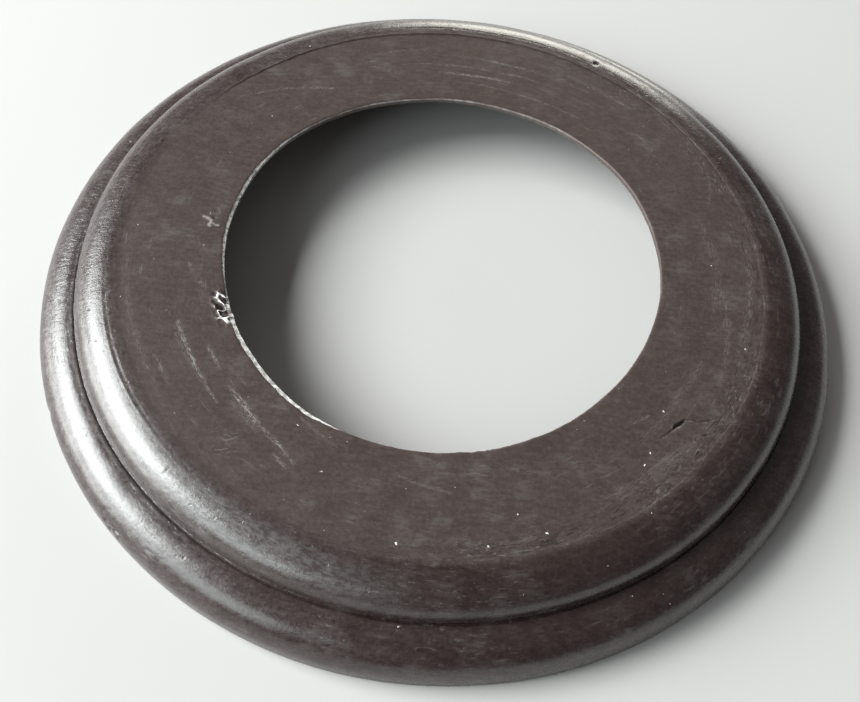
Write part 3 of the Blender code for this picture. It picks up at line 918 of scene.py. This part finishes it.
# ---- materials ---------------------------------------------------------------------------
class Graph:
    """Short calls for building a node tree."""

    def __init__(self, name):
        self.mat = bpy.data.materials.new(name)
        self.mat.use_nodes = True
        self.tree = self.mat.node_tree
        self.tree.nodes.clear()
        self.out = self.tree.nodes.new("ShaderNodeOutputMaterial")
        self.bsdf = self.tree.nodes.new("ShaderNodeBsdfPrincipled")
        self.tree.links.new(self.bsdf.outputs[0], self.out.inputs[0])

    def put(self, socket, value):
        if isinstance(value, bpy.types.NodeSocket):
            self.tree.links.new(value, socket)
        elif isinstance(value, tuple) and len(value) == 3 and socket.type == "RGBA":
            socket.default_value = (*value, 1.0)
        else:
            socket.default_value = value

    def attr(self, name, out="Fac"):
        n = self.tree.nodes.new("ShaderNodeAttribute")
        n.attribute_name = name
        return n.outputs[out]

    def vec(self, operation, a, b=None, scale=None):
        n = self.tree.nodes.new("ShaderNodeVectorMath")
        n.operation = operation
        self.put(n.inputs[0], a)
        if b is not None:
            self.put(n.inputs[1], b)
        if scale is not None:
            self.put(n.inputs["Scale"], scale)
        return n.outputs["Value" if operation in ("LENGTH", "DISTANCE", "DOT_PRODUCT") else "Vector"]

    def math(self, operation, a, b=None, c=None, clamp=False):
        n = self.tree.nodes.new("ShaderNodeMath")
        n.operation = operation
        n.use_clamp = clamp
        for i, v in enumerate((a, b, c)):
            if v is not None:
                self.put(n.inputs[i], v)
        return n.outputs[0]

    def noise(self, vector, scale, detail=2.0, rough=0.5, distortion=0.0, kind="FBM"):
        n = self.tree.nodes.new("ShaderNodeTexNoise")
        n.noise_type = kind
        self.put(n.inputs["Vector"], vector)
        n.inputs["Scale"].default_value = scale
        n.inputs["Detail"].default_value = detail
        n.inputs["Roughness"].default_value = rough
        n.inputs["Distortion"].default_value = distortion
        return n.outputs["Fac"]

    def cells(self, vector, scale, random=1.0, feature="F1", out="Distance"):
        n = self.tree.nodes.new("ShaderNodeTexVoronoi")
        n.feature = feature
        self.put(n.inputs["Vector"], vector)
        n.inputs["Scale"].default_value = scale
        n.inputs["Randomness"].default_value = random
        return n.outputs[out]

    def span(self, value, lo, hi, to_lo=0.0, to_hi=1.0, smooth=True):
        n = self.tree.nodes.new("ShaderNodeMapRange")
        n.interpolation_type = "SMOOTHSTEP" if smooth else "LINEAR"
        self.put(n.inputs["Value"], value)
        n.inputs["From Min"].default_value = lo
        n.inputs["From Max"].default_value = hi
        n.inputs["To Min"].default_value = to_lo
        n.inputs["To Max"].default_value = to_hi
        return n.outputs["Result"]

    def mix(self, factor, a, b, mode="MIX"):
        n = self.tree.nodes.new("ShaderNodeMix")
        n.data_type = "RGBA"
        n.blend_type = mode
        self.put(n.inputs[0], factor)
        self.put(n.inputs[6], a)
        self.put(n.inputs[7], b)
        return n.outputs[2]

    def bump(self, height, distance, strength=1.0, normal=None):
        n = self.tree.nodes.new("ShaderNodeBump")
        self.put(n.inputs["Height"], height)
        n.inputs["Distance"].default_value = distance
        n.inputs["Strength"].default_value = strength
        if normal is not None:
            self.put(n.inputs["Normal"], normal)
        return n.outputs["Normal"]

    def separate(self, vector):
        n = self.tree.nodes.new("ShaderNodeSeparateXYZ")
        self.put(n.inputs[0], vector)
        return n.outputs

    def combine(self, x, y, z):
        n = self.tree.nodes.new("ShaderNodeCombineXYZ")
        for i, v in enumerate((x, y, z)):
            self.put(n.inputs[i], v)
        return n.outputs[0]

    def flow(self, turns, along):
        """Seamless coordinates: turns sets the detail round the axis, along that down the section."""
        return self.vec("MULTIPLY", self.attr("flow", "Vector"), (turns, turns, along))


# dust and lint that lies on the skin: position in mm and radius
DUST = [(-0.82, -45.5, 5.3, 0.26), (13.80, -35.23, 9.5, 0.17), (7.67, -37.36, 9.5, 0.15),
        (24.29, -26.06, 9.5, 0.13), (-2.0, -38.1, 9.5, 0.15), (3.6, -31.0, 9.5, 0.11),
        (24.9, -24.5, 9.5, 0.12), (26.6, -19.0, 9.5, 0.13), (33.2, 2.6, 9.5, 0.12),
        (-11.2, 41.4, 9.3, 0.22), (36.6, -9.4, 9.5, 0.12), (-30.4, -31.2, 8.6, 0.16),
        (10.6, -33.4, 9.5, 0.12), (-24.6, 20.3, 9.5, 0.10)]


def cover_material():
    g = Graph("cover_rubber")
    rest = g.attr("rest", "Vector")
    s = g.separate(g.attr("flow", "Vector"))[2]
    painted_shade, pale, wear, cut = (g.attr(k) for k in ("painted_shade", "pale", "wear", "cut"))
    outer = g.span(g.math("ADD", s, g.math("MULTIPLY", g.noise(rest, 0.8, 3.0, 0.6), 0.8)), 0.15, 1.35)   # 0 on the face, 1 beyond

    blotch = g.noise(rest, 0.085, 3.0, 0.55)
    cloud = g.noise(rest, 0.33, 4.0, 0.6, 0.4)
    grain = g.noise(rest, 3.1, 3.0, 0.6)
    rub = g.noise(g.flow(9.0, 2.6), 1.0, 3.0, 0.6)              # long marks round the ring
    fine_rub = g.noise(g.flow(30.0, 9.0), 1.0, 2.0, 0.6)
    drag = g.noise(g.flow(170.0, 0.35), 1.0, 3.0, 0.65)          # short marks down the section
    fine_drag = g.noise(g.flow(420.0, 0.8), 1.0, 2.0, 0.6)

    across_x, across_y, _ = g.separate(rest)
    left = g.math("MULTIPLY", g.span(across_x, -43.0, -35.0, 1.0, 0.0), g.span(across_y, -22.0, -9.0))

    leftward = g.span(g.math("ADD", across_x, g.math("MULTIPLY", across_y, -0.15)), -34.0, 6.0, 1.0, 0.0)

    fine = g.noise(rest, 1.25, 4.0, 0.7)
    flecky = g.noise(rest, 2.4, 3.0, 0.65)
    smear = g.math("MULTIPLY", g.span(cloud, 0.46, 0.68), g.span(blotch, 0.42, 0.62))
    streaky = g.noise(g.vec("MULTIPLY", rest, (0.55, 2.3, 1.0)), 1.0, 4.0, 0.7)
    smear = g.math("MULTIPLY", smear, g.span(streaky, 0.40, 0.64, 0.08, 1.0))
    marks = g.math("MULTIPLY", g.span(rub, 0.56, 0.74), g.span(cloud, 0.40, 0.62))
    marks = g.math("MULTIPLY", marks, g.span(fine_rub, 0.35, 0.70))
    haze = g.math("MULTIPLY", g.span(blotch, 0.36, 0.66), 0.5)

    mottle = g.math("ADD", g.math("MULTIPLY", cloud, 0.22), g.math("MULTIPLY", fine, 0.22))
    mottle = g.math("ADD", mottle, g.math("MULTIPLY", flecky, 0.28))
    mottle = g.math("ADD", mottle, g.math("MULTIPLY", streaky, 0.28))
    face_colour = g.mix(g.span(mottle, 0.38, 0.62), (0.0440, 0.0312, 0.0284), (0.0700, 0.0500, 0.0456))
    side_colour = g.mix(g.span(mottle, 0.38, 0.62), (0.0212, 0.0112, 0.0101), (0.0369, 0.0212, 0.0194))
    colour = g.mix(outer, face_colour, side_colour)
    colour = g.mix(g.math("MULTIPLY", smear, g.span(outer, 0.0, 1.0, 0.46, 0.26)), colour, (0.1080, 0.1044, 0.1008))
    colour = g.mix(g.math("MULTIPLY", marks, 0.50), colour, (0.1890, 0.1836, 0.1782))
    # rubbed flecks on the flange and shoulder, strung out round the ring
    strung = g.math("MULTIPLY", g.span(g.noise(g.flow(30.0, 2.6), 1.0, 4.0, 0.7), 0.56, 0.68),
                    g.math("MULTIPLY", g.span(blotch, 0.46, 0.60), outer))
    colour = g.mix(g.math("MULTIPLY", strung, 0.36), colour, (0.1530, 0.1440, 0.1404))
    # painted highlight: a pale grey haze on top of the shoulder over the near left of the ring, where the sheen of the
    # side light sweeps round
    painted_haze = g.span(g.vec("DOT_PRODUCT", rest, (-0.580, -0.815, 0.0)), 32.5, 41.5)
    painted_haze = g.math("MULTIPLY", painted_haze, g.math("MULTIPLY", g.span(s, 0.3, 1.8), g.span(s, 4.0, 6.4, 1.0, 0.0)))
    painted_haze = g.math("MULTIPLY", painted_haze, g.span(g.noise(g.flow(46.0, 3.0), 1.0, 4.0, 0.7), 0.40, 0.60, 0.22, 1.0))
    colour = g.mix(g.math("MULTIPLY", painted_haze, 0.47), colour, (0.150, 0.147, 0.143))
    # painted highlight: the bead over the crease glints in pale flecks, strongest towards the left where the light
    # falls
    bead = g.span(g.math("ABSOLUTE", g.math("SUBTRACT", s, CREASE_S - 0.44)), 0.06, 0.26, 1.0, 0.0)
    bead = g.math("MULTIPLY", bead, g.span(g.noise(g.flow(78.0, 5.0), 1.0, 3.0, 0.65), 0.47, 0.60))
    bead = g.math("MULTIPLY", bead, g.span(leftward, 0.1, 0.8, 0.12, 1.0))
    colour = g.mix(g.math("MULTIPLY", bead, 0.62), colour, (0.7560, 0.7380, 0.7200))
    # broken skin along the edge of the face: pale flecks and fine dark splits
    border = g.math("MULTIPLY", g.span(s, -3.2, -0.9), g.span(s, -0.2, 0.7, 1.0, 0.0))
    border = g.math("MULTIPLY", border, g.span(g.math("ADD", across_x, g.math("MULTIPLY", across_y, -0.25)), -8.0, 24.0, 0.12, 1.0))
    crust = g.math("MULTIPLY", g.span(g.noise(g.flow(58.0, 3.4), 1.0, 3.0, 0.6), 0.54, 0.66),
                   g.span(g.noise(rest, 0.20, 2.0), 0.44, 0.56))
    crust = g.math("MULTIPLY", crust, border)
    split = g.math("MULTIPLY", g.span(g.noise(g.flow(20.0, 3.4), 1.0, 3.0, 0.7), 0.575, 0.615), border)
    colour = g.mix(g.math("MULTIPLY", crust, 0.42), colour, (0.1890, 0.1800, 0.1710))
    colour = g.mix(g.math("MULTIPLY", split, 0.45), colour, (0.0108, 0.0072, 0.0072))
    # rubbed strokes, broken into flecks that run with them
    fleck = g.span(g.noise(g.flow(52.0, 7.5), 1.0, 3.0, 0.75), 0.47, 0.62)
    fleck = g.math("ADD", g.math("MULTIPLY", fleck, 0.92), 0.06)
    rubbed = g.math("MULTIPLY", wear, fleck, clamp=True)
    colour = g.mix(g.math("MULTIPLY", rubbed, 0.85, clamp=True), colour, (0.4320, 0.4104, 0.3924))
    # chatter left by the trimming tool: short ticks in a small patch
    across = g.vec("DOT_PRODUCT", rest, (-0.281, 0.960, 0.0))
    ticks = g.span(g.math("SINE", g.math("ADD", g.math("MULTIPLY", across, 2 * math.pi / 0.56),
                                         g.math("MULTIPLY", g.noise(rest, 0.9, 2.0), 7.0))), 0.35, 0.95)
    ticks = g.math("MULTIPLY", ticks, g.span(g.vec("DISTANCE", rest, (-21.8, -28.4, 9.5)), 0.8, 2.7, 1.0, 0.0))
    ticks = g.math("MULTIPLY", ticks, g.span(g.noise(rest, 1.1, 2.0), 0.48, 0.60))
    colour = g.mix(g.math("MULTIPLY", ticks, 0.30), colour, (0.2160, 0.1980, 0.1890))
    colour = g.mix(g.math("MULTIPLY", pale, 0.75, clamp=True), colour, (0.4320, 0.3870, 0.3600))
    lumps = g.noise(rest, 1.7, 3.0, 0.6)
    # cut faces: partly the paler fresh-cut rubber, partly a painted highlight, near white where the edge catches the
    # light
    cut_tone_and_glint = g.mix(g.span(lumps, 0.40, 0.56), (0.4500, 0.4284, 0.4140), (0.9000, 0.8900, 0.8800))
    cut_tone_and_glint = g.mix(g.span(cut, 0.35, 0.90), (0.1530, 0.1260, 0.1152), cut_tone_and_glint)
    colour = g.mix(cut, colour, cut_tone_and_glint)
    # painted shade: slits, pits, nicks, hollows and the mould step darkened almost to black
    colour = g.mix(g.math("MULTIPLY", painted_shade, 0.9, clamp=True), colour, (0.0108, 0.0072, 0.0072))

    # fine dust everywhere, and a few larger crumbs, all of ragged outline
    n = g.tree.nodes.new("ShaderNodeTexNoise")
    g.put(n.inputs["Vector"], rest)
    n.inputs["Scale"].default_value = 4.5
    n.inputs["Detail"].default_value = 1.0
    warped = g.vec("ADD", rest, g.vec("SCALE", g.vec("SUBTRACT", n.outputs["Color"], (0.5, 0.5, 0.5)), scale=0.42))
    speck = g.span(g.cells(warped, 0.34), 0.024, 0.044, 0.8, 0.0)
    speck = g.math("MULTIPLY", speck, g.span(g.noise(rest, 0.21, 1.0), 0.52, 0.62))
    tiny = g.span(g.cells(warped, 1.15), 0.045, 0.080, 0.5, 0.0)
    tiny = g.math("MULTIPLY", tiny, g.span(g.noise(rest, 0.9, 1.0), 0.60, 0.68))
    pits = g.span(g.cells(warped, 0.72), 0.075, 0.165, 1.0, 0.0)
    pits = g.math("MULTIPLY", pits, g.span(g.noise(rest, 0.42, 2.0), 0.46, 0.56))
    pits = g.math("MULTIPLY", g.math("MULTIPLY", pits, outer), g.span(left, 0.0, 1.0, 0.25, 1.0))
    crumbs = None
    for x, y, z, radius in DUST:
        d = g.vec("DISTANCE", warped, (x, y, z))
        c = g.span(d, radius * 0.65, radius, 1.0, 0.0)
        crumbs = c if crumbs is None else g.math("MAXIMUM", crumbs, c)
    dust = g.math("MAXIMUM", g.math("MAXIMUM", speck, tiny), crumbs)
    colour = g.mix(g.math("MULTIPLY", dust, 0.9), colour, (0.8460, 0.8280, 0.7920))
    g.put(g.bsdf.inputs["Base Color"], colour)

    rough = g.span(mottle, 0.38, 0.62, 0.46, 0.58, smooth=False)
    side_rough = g.span(mottle, 0.38, 0.62, 0.22, 0.30, smooth=False)
    n = g.tree.nodes.new("ShaderNodeMix")
    n.data_type = "FLOAT"
    g.put(n.inputs[0], outer)
    g.put(n.inputs[2], rough)
    g.put(n.inputs[3], side_rough)
    rough = n.outputs[0]
    rough = g.math("ADD", rough, g.math("MULTIPLY", marks, -0.10))
    rough = g.math("ADD", rough, g.math("MULTIPLY", haze, 0.06))
    rough = g.math("ADD", rough, g.math("MULTIPLY", crust, -0.08))
    rough = g.math("ADD", rough, g.math("MULTIPLY", dust, 0.30), clamp=True)
    rough = g.math("SUBTRACT", rough, g.math("MULTIPLY", g.span(cut, 0.2, 0.9), 0.12), clamp=True)
    g.put(g.bsdf.inputs["Roughness"], rough)
    sheen = g.span(mottle, 0.40, 0.60, -0.04, 0.16, smooth=False)
    g.put(g.bsdf.inputs["Specular IOR Level"], g.math("ADD", g.math("MULTIPLY", sheen, outer), g.span(outer, 0.0, 1.0, 0.26, 0.74)))
    # a broad, hazy second sheen over the rounded parts
    strewn = g.span(g.noise(g.flow(36.0, 3.4), 1.0, 4.0, 0.75), 0.42, 0.60, 0.50, 1.45, smooth=False)
    patchy = g.math("MULTIPLY", outer, g.math("MULTIPLY", strewn, g.span(leftward, 0.0, 1.0, 0.38, 1.0)))
    g.put(g.bsdf.inputs["Coat Weight"], g.math("MULTIPLY", patchy,
                                               g.span(mottle, 0.38, 0.62, 0.22, 0.80, smooth=False)))
    g.bsdf.inputs["Coat Roughness"].default_value = 0.55

    wrinkle = g.noise(g.flow(95.0, 0.9), 1.0, 3.0, 0.65, 0.6)      # short wavy creases across the ring
    combed = g.math("ADD", g.math("MULTIPLY", left, 1.1), 0.10)       # strong on the left side only
    height = g.math("MULTIPLY", grain, 0.60)
    height = g.math("ADD", height, g.math("MULTIPLY", g.noise(rest, 9.0, 2.0, 0.6), 0.22))
    height = g.math("ADD", height, g.math("MULTIPLY", fine, 0.80))
    height = g.math("ADD", height, g.math("MULTIPLY", fine_rub, 0.20))
    height = g.math("ADD", height, g.math("MULTIPLY", g.math("MULTIPLY", fine_drag, outer), 0.10))
    height = g.math("ADD", height, g.math("MULTIPLY", g.math("MULTIPLY", drag, outer), g.math("MULTIPLY", combed, 0.5)))
    height = g.math("ADD", height, g.math("MULTIPLY", g.math("MULTIPLY", wrinkle, outer), g.math("MULTIPLY", combed, 1.9)))
    height = g.math("ADD", height, g.math("MULTIPLY", crust, 1.0))
    height = g.math("ADD", height, g.math("MULTIPLY", split, -1.9))
    height = g.math("ADD", height, g.math("MULTIPLY", strung, 0.7))
    height = g.math("ADD", height, g.math("MULTIPLY", bead, 1.6))
    height = g.math("ADD", height, g.math("MULTIPLY", ticks, -0.8))
    height = g.math("ADD", height, g.math("MULTIPLY", dust, 3.0))
    height = g.math("ADD", height, g.math("MULTIPLY", pits, -3.2))
    height = g.math("ADD", height, g.math("MULTIPLY", rubbed, -0.9))
    height = g.math("ADD", height, g.math("MULTIPLY", g.math("MULTIPLY", lumps, cut), 3.0))
    skin_normal = g.bump(height, 0.000022)
    g.put(g.bsdf.inputs["Normal"], skin_normal)
    g.put(g.bsdf.inputs["Coat Normal"], skin_normal)
    return g.mat


def liner_material(name, low, high, roughness):
    g = Graph(name)
    rest = g.attr("rest", "Vector")
    cloud = g.noise(rest, 0.25, 4.0, 0.6, 0.3)
    grain = g.noise(rest, 2.6, 4.0, 0.6)
    rub = g.noise(g.flow(14.0, 3.0), 1.0, 3.0, 0.6)
    print_ = g.noise(g.flow(210.0, 2.2), 1.0, 2.0, 0.5)          # ghost of the wrapping cloth
    chalk = g.math("MULTIPLY", g.span(cloud, 0.50, 0.75), g.span(grain, 0.40, 0.70))
    colour = g.mix(g.span(cloud, 0.3, 0.7), low, high)
    colour = g.mix(g.math("MULTIPLY", chalk, 0.45), colour, (0.210, 0.200, 0.190))
    colour = g.mix(g.math("MULTIPLY", g.span(rub, 0.58, 0.76), 0.30), colour, (0.160, 0.152, 0.146))
    g.put(g.bsdf.inputs["Base Color"], colour)
    rough = g.span(cloud, 0.25, 0.75, roughness - 0.08, roughness + 0.08, smooth=False)
    rough = g.math("ADD", rough, g.math("MULTIPLY", chalk, 0.14), clamp=True)
    g.put(g.bsdf.inputs["Roughness"], rough)
    height = g.math("ADD", g.math("MULTIPLY", grain, 0.6), g.math("MULTIPLY", print_, 0.5))
    height = g.math("ADD", height, g.math("MULTIPLY", rub, 0.3))
    g.put(g.bsdf.inputs["Normal"], g.bump(height, 0.000035))
    return g.mat


def ply_material():
    g = Graph("woven_ply")
    rest = g.attr("rest", "Vector")
    flow = g.separate(g.attr("flow", "Vector"))
    tone = g.noise(rest, 0.5, 3.0, 0.6)
    fuzz = g.noise(rest, 11.0, 3.0, 0.7)
    strand = g.noise(g.flow(420.0, 1.6), 1.0, 2.0, 0.6)
    weft = g.math("SINE", g.math("MULTIPLY", flow[2], 2 * math.pi / 1.16))
    colour = g.mix(g.span(tone, 0.3, 0.7), (0.300, 0.250, 0.180), (0.430, 0.375, 0.285))
    colour = g.mix(g.math("MULTIPLY", g.span(strand, 0.35, 0.65), 0.45), colour, (0.200, 0.160, 0.110))
    colour = g.mix(g.math("MULTIPLY", g.span(weft, -0.2, 1.0), 0.25), colour, (0.480, 0.430, 0.340))
    colour = g.mix(g.math("MULTIPLY", g.span(fuzz, 0.60, 0.80), 0.5), colour, (0.050, 0.042, 0.036))
    g.put(g.bsdf.inputs["Base Color"], colour)
    g.put(g.bsdf.inputs["Roughness"], g.span(fuzz, 0.2, 0.8, 0.80, 0.96, smooth=False))
    g.bsdf.inputs["Sheen Weight"].default_value = 0.25
    height = g.math("ADD", g.math("MULTIPLY", strand, 1.0), g.math("MULTIPLY", fuzz, 0.4))
    g.put(g.bsdf.inputs["Normal"], g.bump(height, 0.00004))
    return g.mat


def steel_material():
    g = Graph("bead_steel")
    rest = g.attr("rest", "Vector")
    flow = g.attr("flow", "Vector")
    strand_gap_shade = g.attr("painted_shade")
    drawn = g.noise(g.vec("MULTIPLY", flow, (12.0, 12.0, 14.0)), 1.0, 3.0, 0.6)
    tarnish = g.noise(rest, 0.8, 4.0, 0.6)
    colour = g.mix(g.span(tarnish, 0.45, 0.70), (0.520, 0.500, 0.470), (0.330, 0.270, 0.200))
    colour = g.mix(g.math("MULTIPLY", g.span(drawn, 0.45, 0.65), 0.3), colour, (0.620, 0.600, 0.570))
    # painted shade in the grooves between the strands
    colour = g.mix(g.span(strand_gap_shade, 0.55, 0.95), colour, (0.040, 0.034, 0.030))
    g.put(g.bsdf.inputs["Base Color"], colour)
    g.bsdf.inputs["Metallic"].default_value = 1.0
    g.put(g.bsdf.inputs["Roughness"], g.span(drawn, 0.3, 0.7, 0.26, 0.48, smooth=False))
    g.put(g.bsdf.inputs["Normal"], g.bump(drawn, 0.00002))
    return g.mat


# ---- build ---------------------------------------------------------------------------------
cover = cover_material()
liner = liner_material("liner_rubber", (0.027, 0.0255, 0.0250), (0.048, 0.045, 0.0435), 0.60)
filler = liner_material("filler_rubber", (0.036, 0.034, 0.032), (0.055, 0.051, 0.048), 0.74)
ply = ply_material()
steel = steel_material()


def dress(obj, node, mat):
    obj.data.materials.append(mat)
    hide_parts(node)


lip_obj, lip_edge = make_lip_cover()
dress(lip_obj, "lip_cover", cover)
dress(make_web_cover(lip_edge), "web_cover", cover)
dress(make_shoulder_cover(), "shoulder_cover", cover)
dress(make_flange_cover(), "flange_cover", cover)
for node, obj in make_plies().items():
    dress(obj, node, ply)
for node, obj in make_liners().items():
    dress(obj, node, liner)
bead = make_bead()
dress(bead["bead_wire"], "bead_wire", steel)
dress(bead["bead_filler"], "bead_filler", filler)

# ---- floor, light and camera ---------------------------------------------------------------
floor_mesh = bpy.data.meshes.new("floor")
half = 3.0
floor_mesh.from_pydata([(-half, -half, -0.00002), (half, -half, -0.00002),
                        (half, half, -0.00002), (-half, half, -0.00002)], [], [(0, 1, 2, 3)])
floor = bpy.data.objects.new("floor", floor_mesh)
bpy.context.scene.collection.objects.link(floor)
floor_mat = bpy.data.materials.new("floor")
floor_mat.use_nodes = True
floor_shader = floor_mat.node_tree.nodes["Principled BSDF"]
floor_shader.inputs["Base Color"].default_value = (0.575, 0.560, 0.552, 1.0)
floor_shader.inputs["Roughness"].default_value = 0.85
floor_shader.inputs["Specular IOR Level"].default_value = 0.0
floor_mesh.materials.append(floor_mat)


def soft_box(name, azimuth, elevation, distance, width, height, radiance, colour):
    """An area light that faces the object; radiance is its brightness as seen from there."""
    light = bpy.data.lights.new(name, "AREA")
    light.shape = "RECTANGLE"
    light.size, light.size_y = width, height
    light.energy = radiance * math.pi * width * height
    light.color = colour
    lamp = bpy.data.objects.new(name, light)
    bpy.context.scene.collection.objects.link(lamp)
    az, el = math.radians(azimuth), math.radians(elevation)
    spot = Vector((math.cos(az) * math.cos(el), math.sin(az) * math.cos(el), math.sin(el))) * distance
    lamp.location = spot
    lamp.rotation_euler = (Vector((0, 0, 0.008)) - spot).to_track_quat("-Z", "Y").to_euler()
    return lamp


soft_box("window", 176.0, 37.0, 0.90, 0.66, 0.46, 16.8, (0.955, 1.0, 0.995))
soft_box("window_sill", 184.0, 8.0, 0.90, 0.66, 0.28, 8.0, (0.98, 1.0, 0.99))
soft_box("side_wall", 219.0, 29.0, 0.92, 0.64, 0.44, 4.2, (0.90, 1.0, 1.0))
soft_box("back_window", 82.0, 10.0, 1.00, 0.48, 0.34, 7.4, (1.0, 0.98, 0.90))

world = bpy.data.worlds.new("studio")
world.use_nodes = True
world.node_tree.nodes["Background"].inputs["Color"].default_value = (1.0, 0.985, 0.97, 1.0)
world.node_tree.nodes["Background"].inputs["Strength"].default_value = 0.12
bpy.context.scene.world = world
bpy.context.scene.view_settings.view_transform = "Standard"
bpy.context.scene.view_settings.look = "None"

tilt, roll = math.radians(57.615), math.radians(5.80)
unit = FLANGE_R * MM
forward = Vector((0.0, math.cos(tilt), -math.sin(tilt)))
right = Vector((1.0, 0.0, 0.0))
up = Vector((0.0, math.sin(tilt), math.cos(tilt)))
rolled_right = right * math.cos(roll) + up * math.sin(roll)
rolled_up = -right * math.sin(roll) + up * math.cos(roll)
place = -forward * (2.806 * unit) + right * (-0.0103 * unit) + up * (-0.136 * unit)
camera = bpy.data.cameras.new("camera")
camera.lens = 45.0
camera.sensor_width = 36.0
camera.sensor_fit = "HORIZONTAL"
camera.clip_start = 0.005
camera_obj = bpy.data.objects.new("camera", camera)
bpy.context.scene.collection.objects.link(camera_obj)
back = -forward
camera_obj.matrix_world = Matrix(((rolled_right.x, rolled_up.x, back.x, place.x),
                                  (rolled_right.y, rolled_up.y, back.y, place.y),
                                  (rolled_right.z, rolled_up.z, back.z, place.z),
                                  (0.0, 0.0, 0.0, 1.0)))
bpy.context.scene.camera = camera_obj
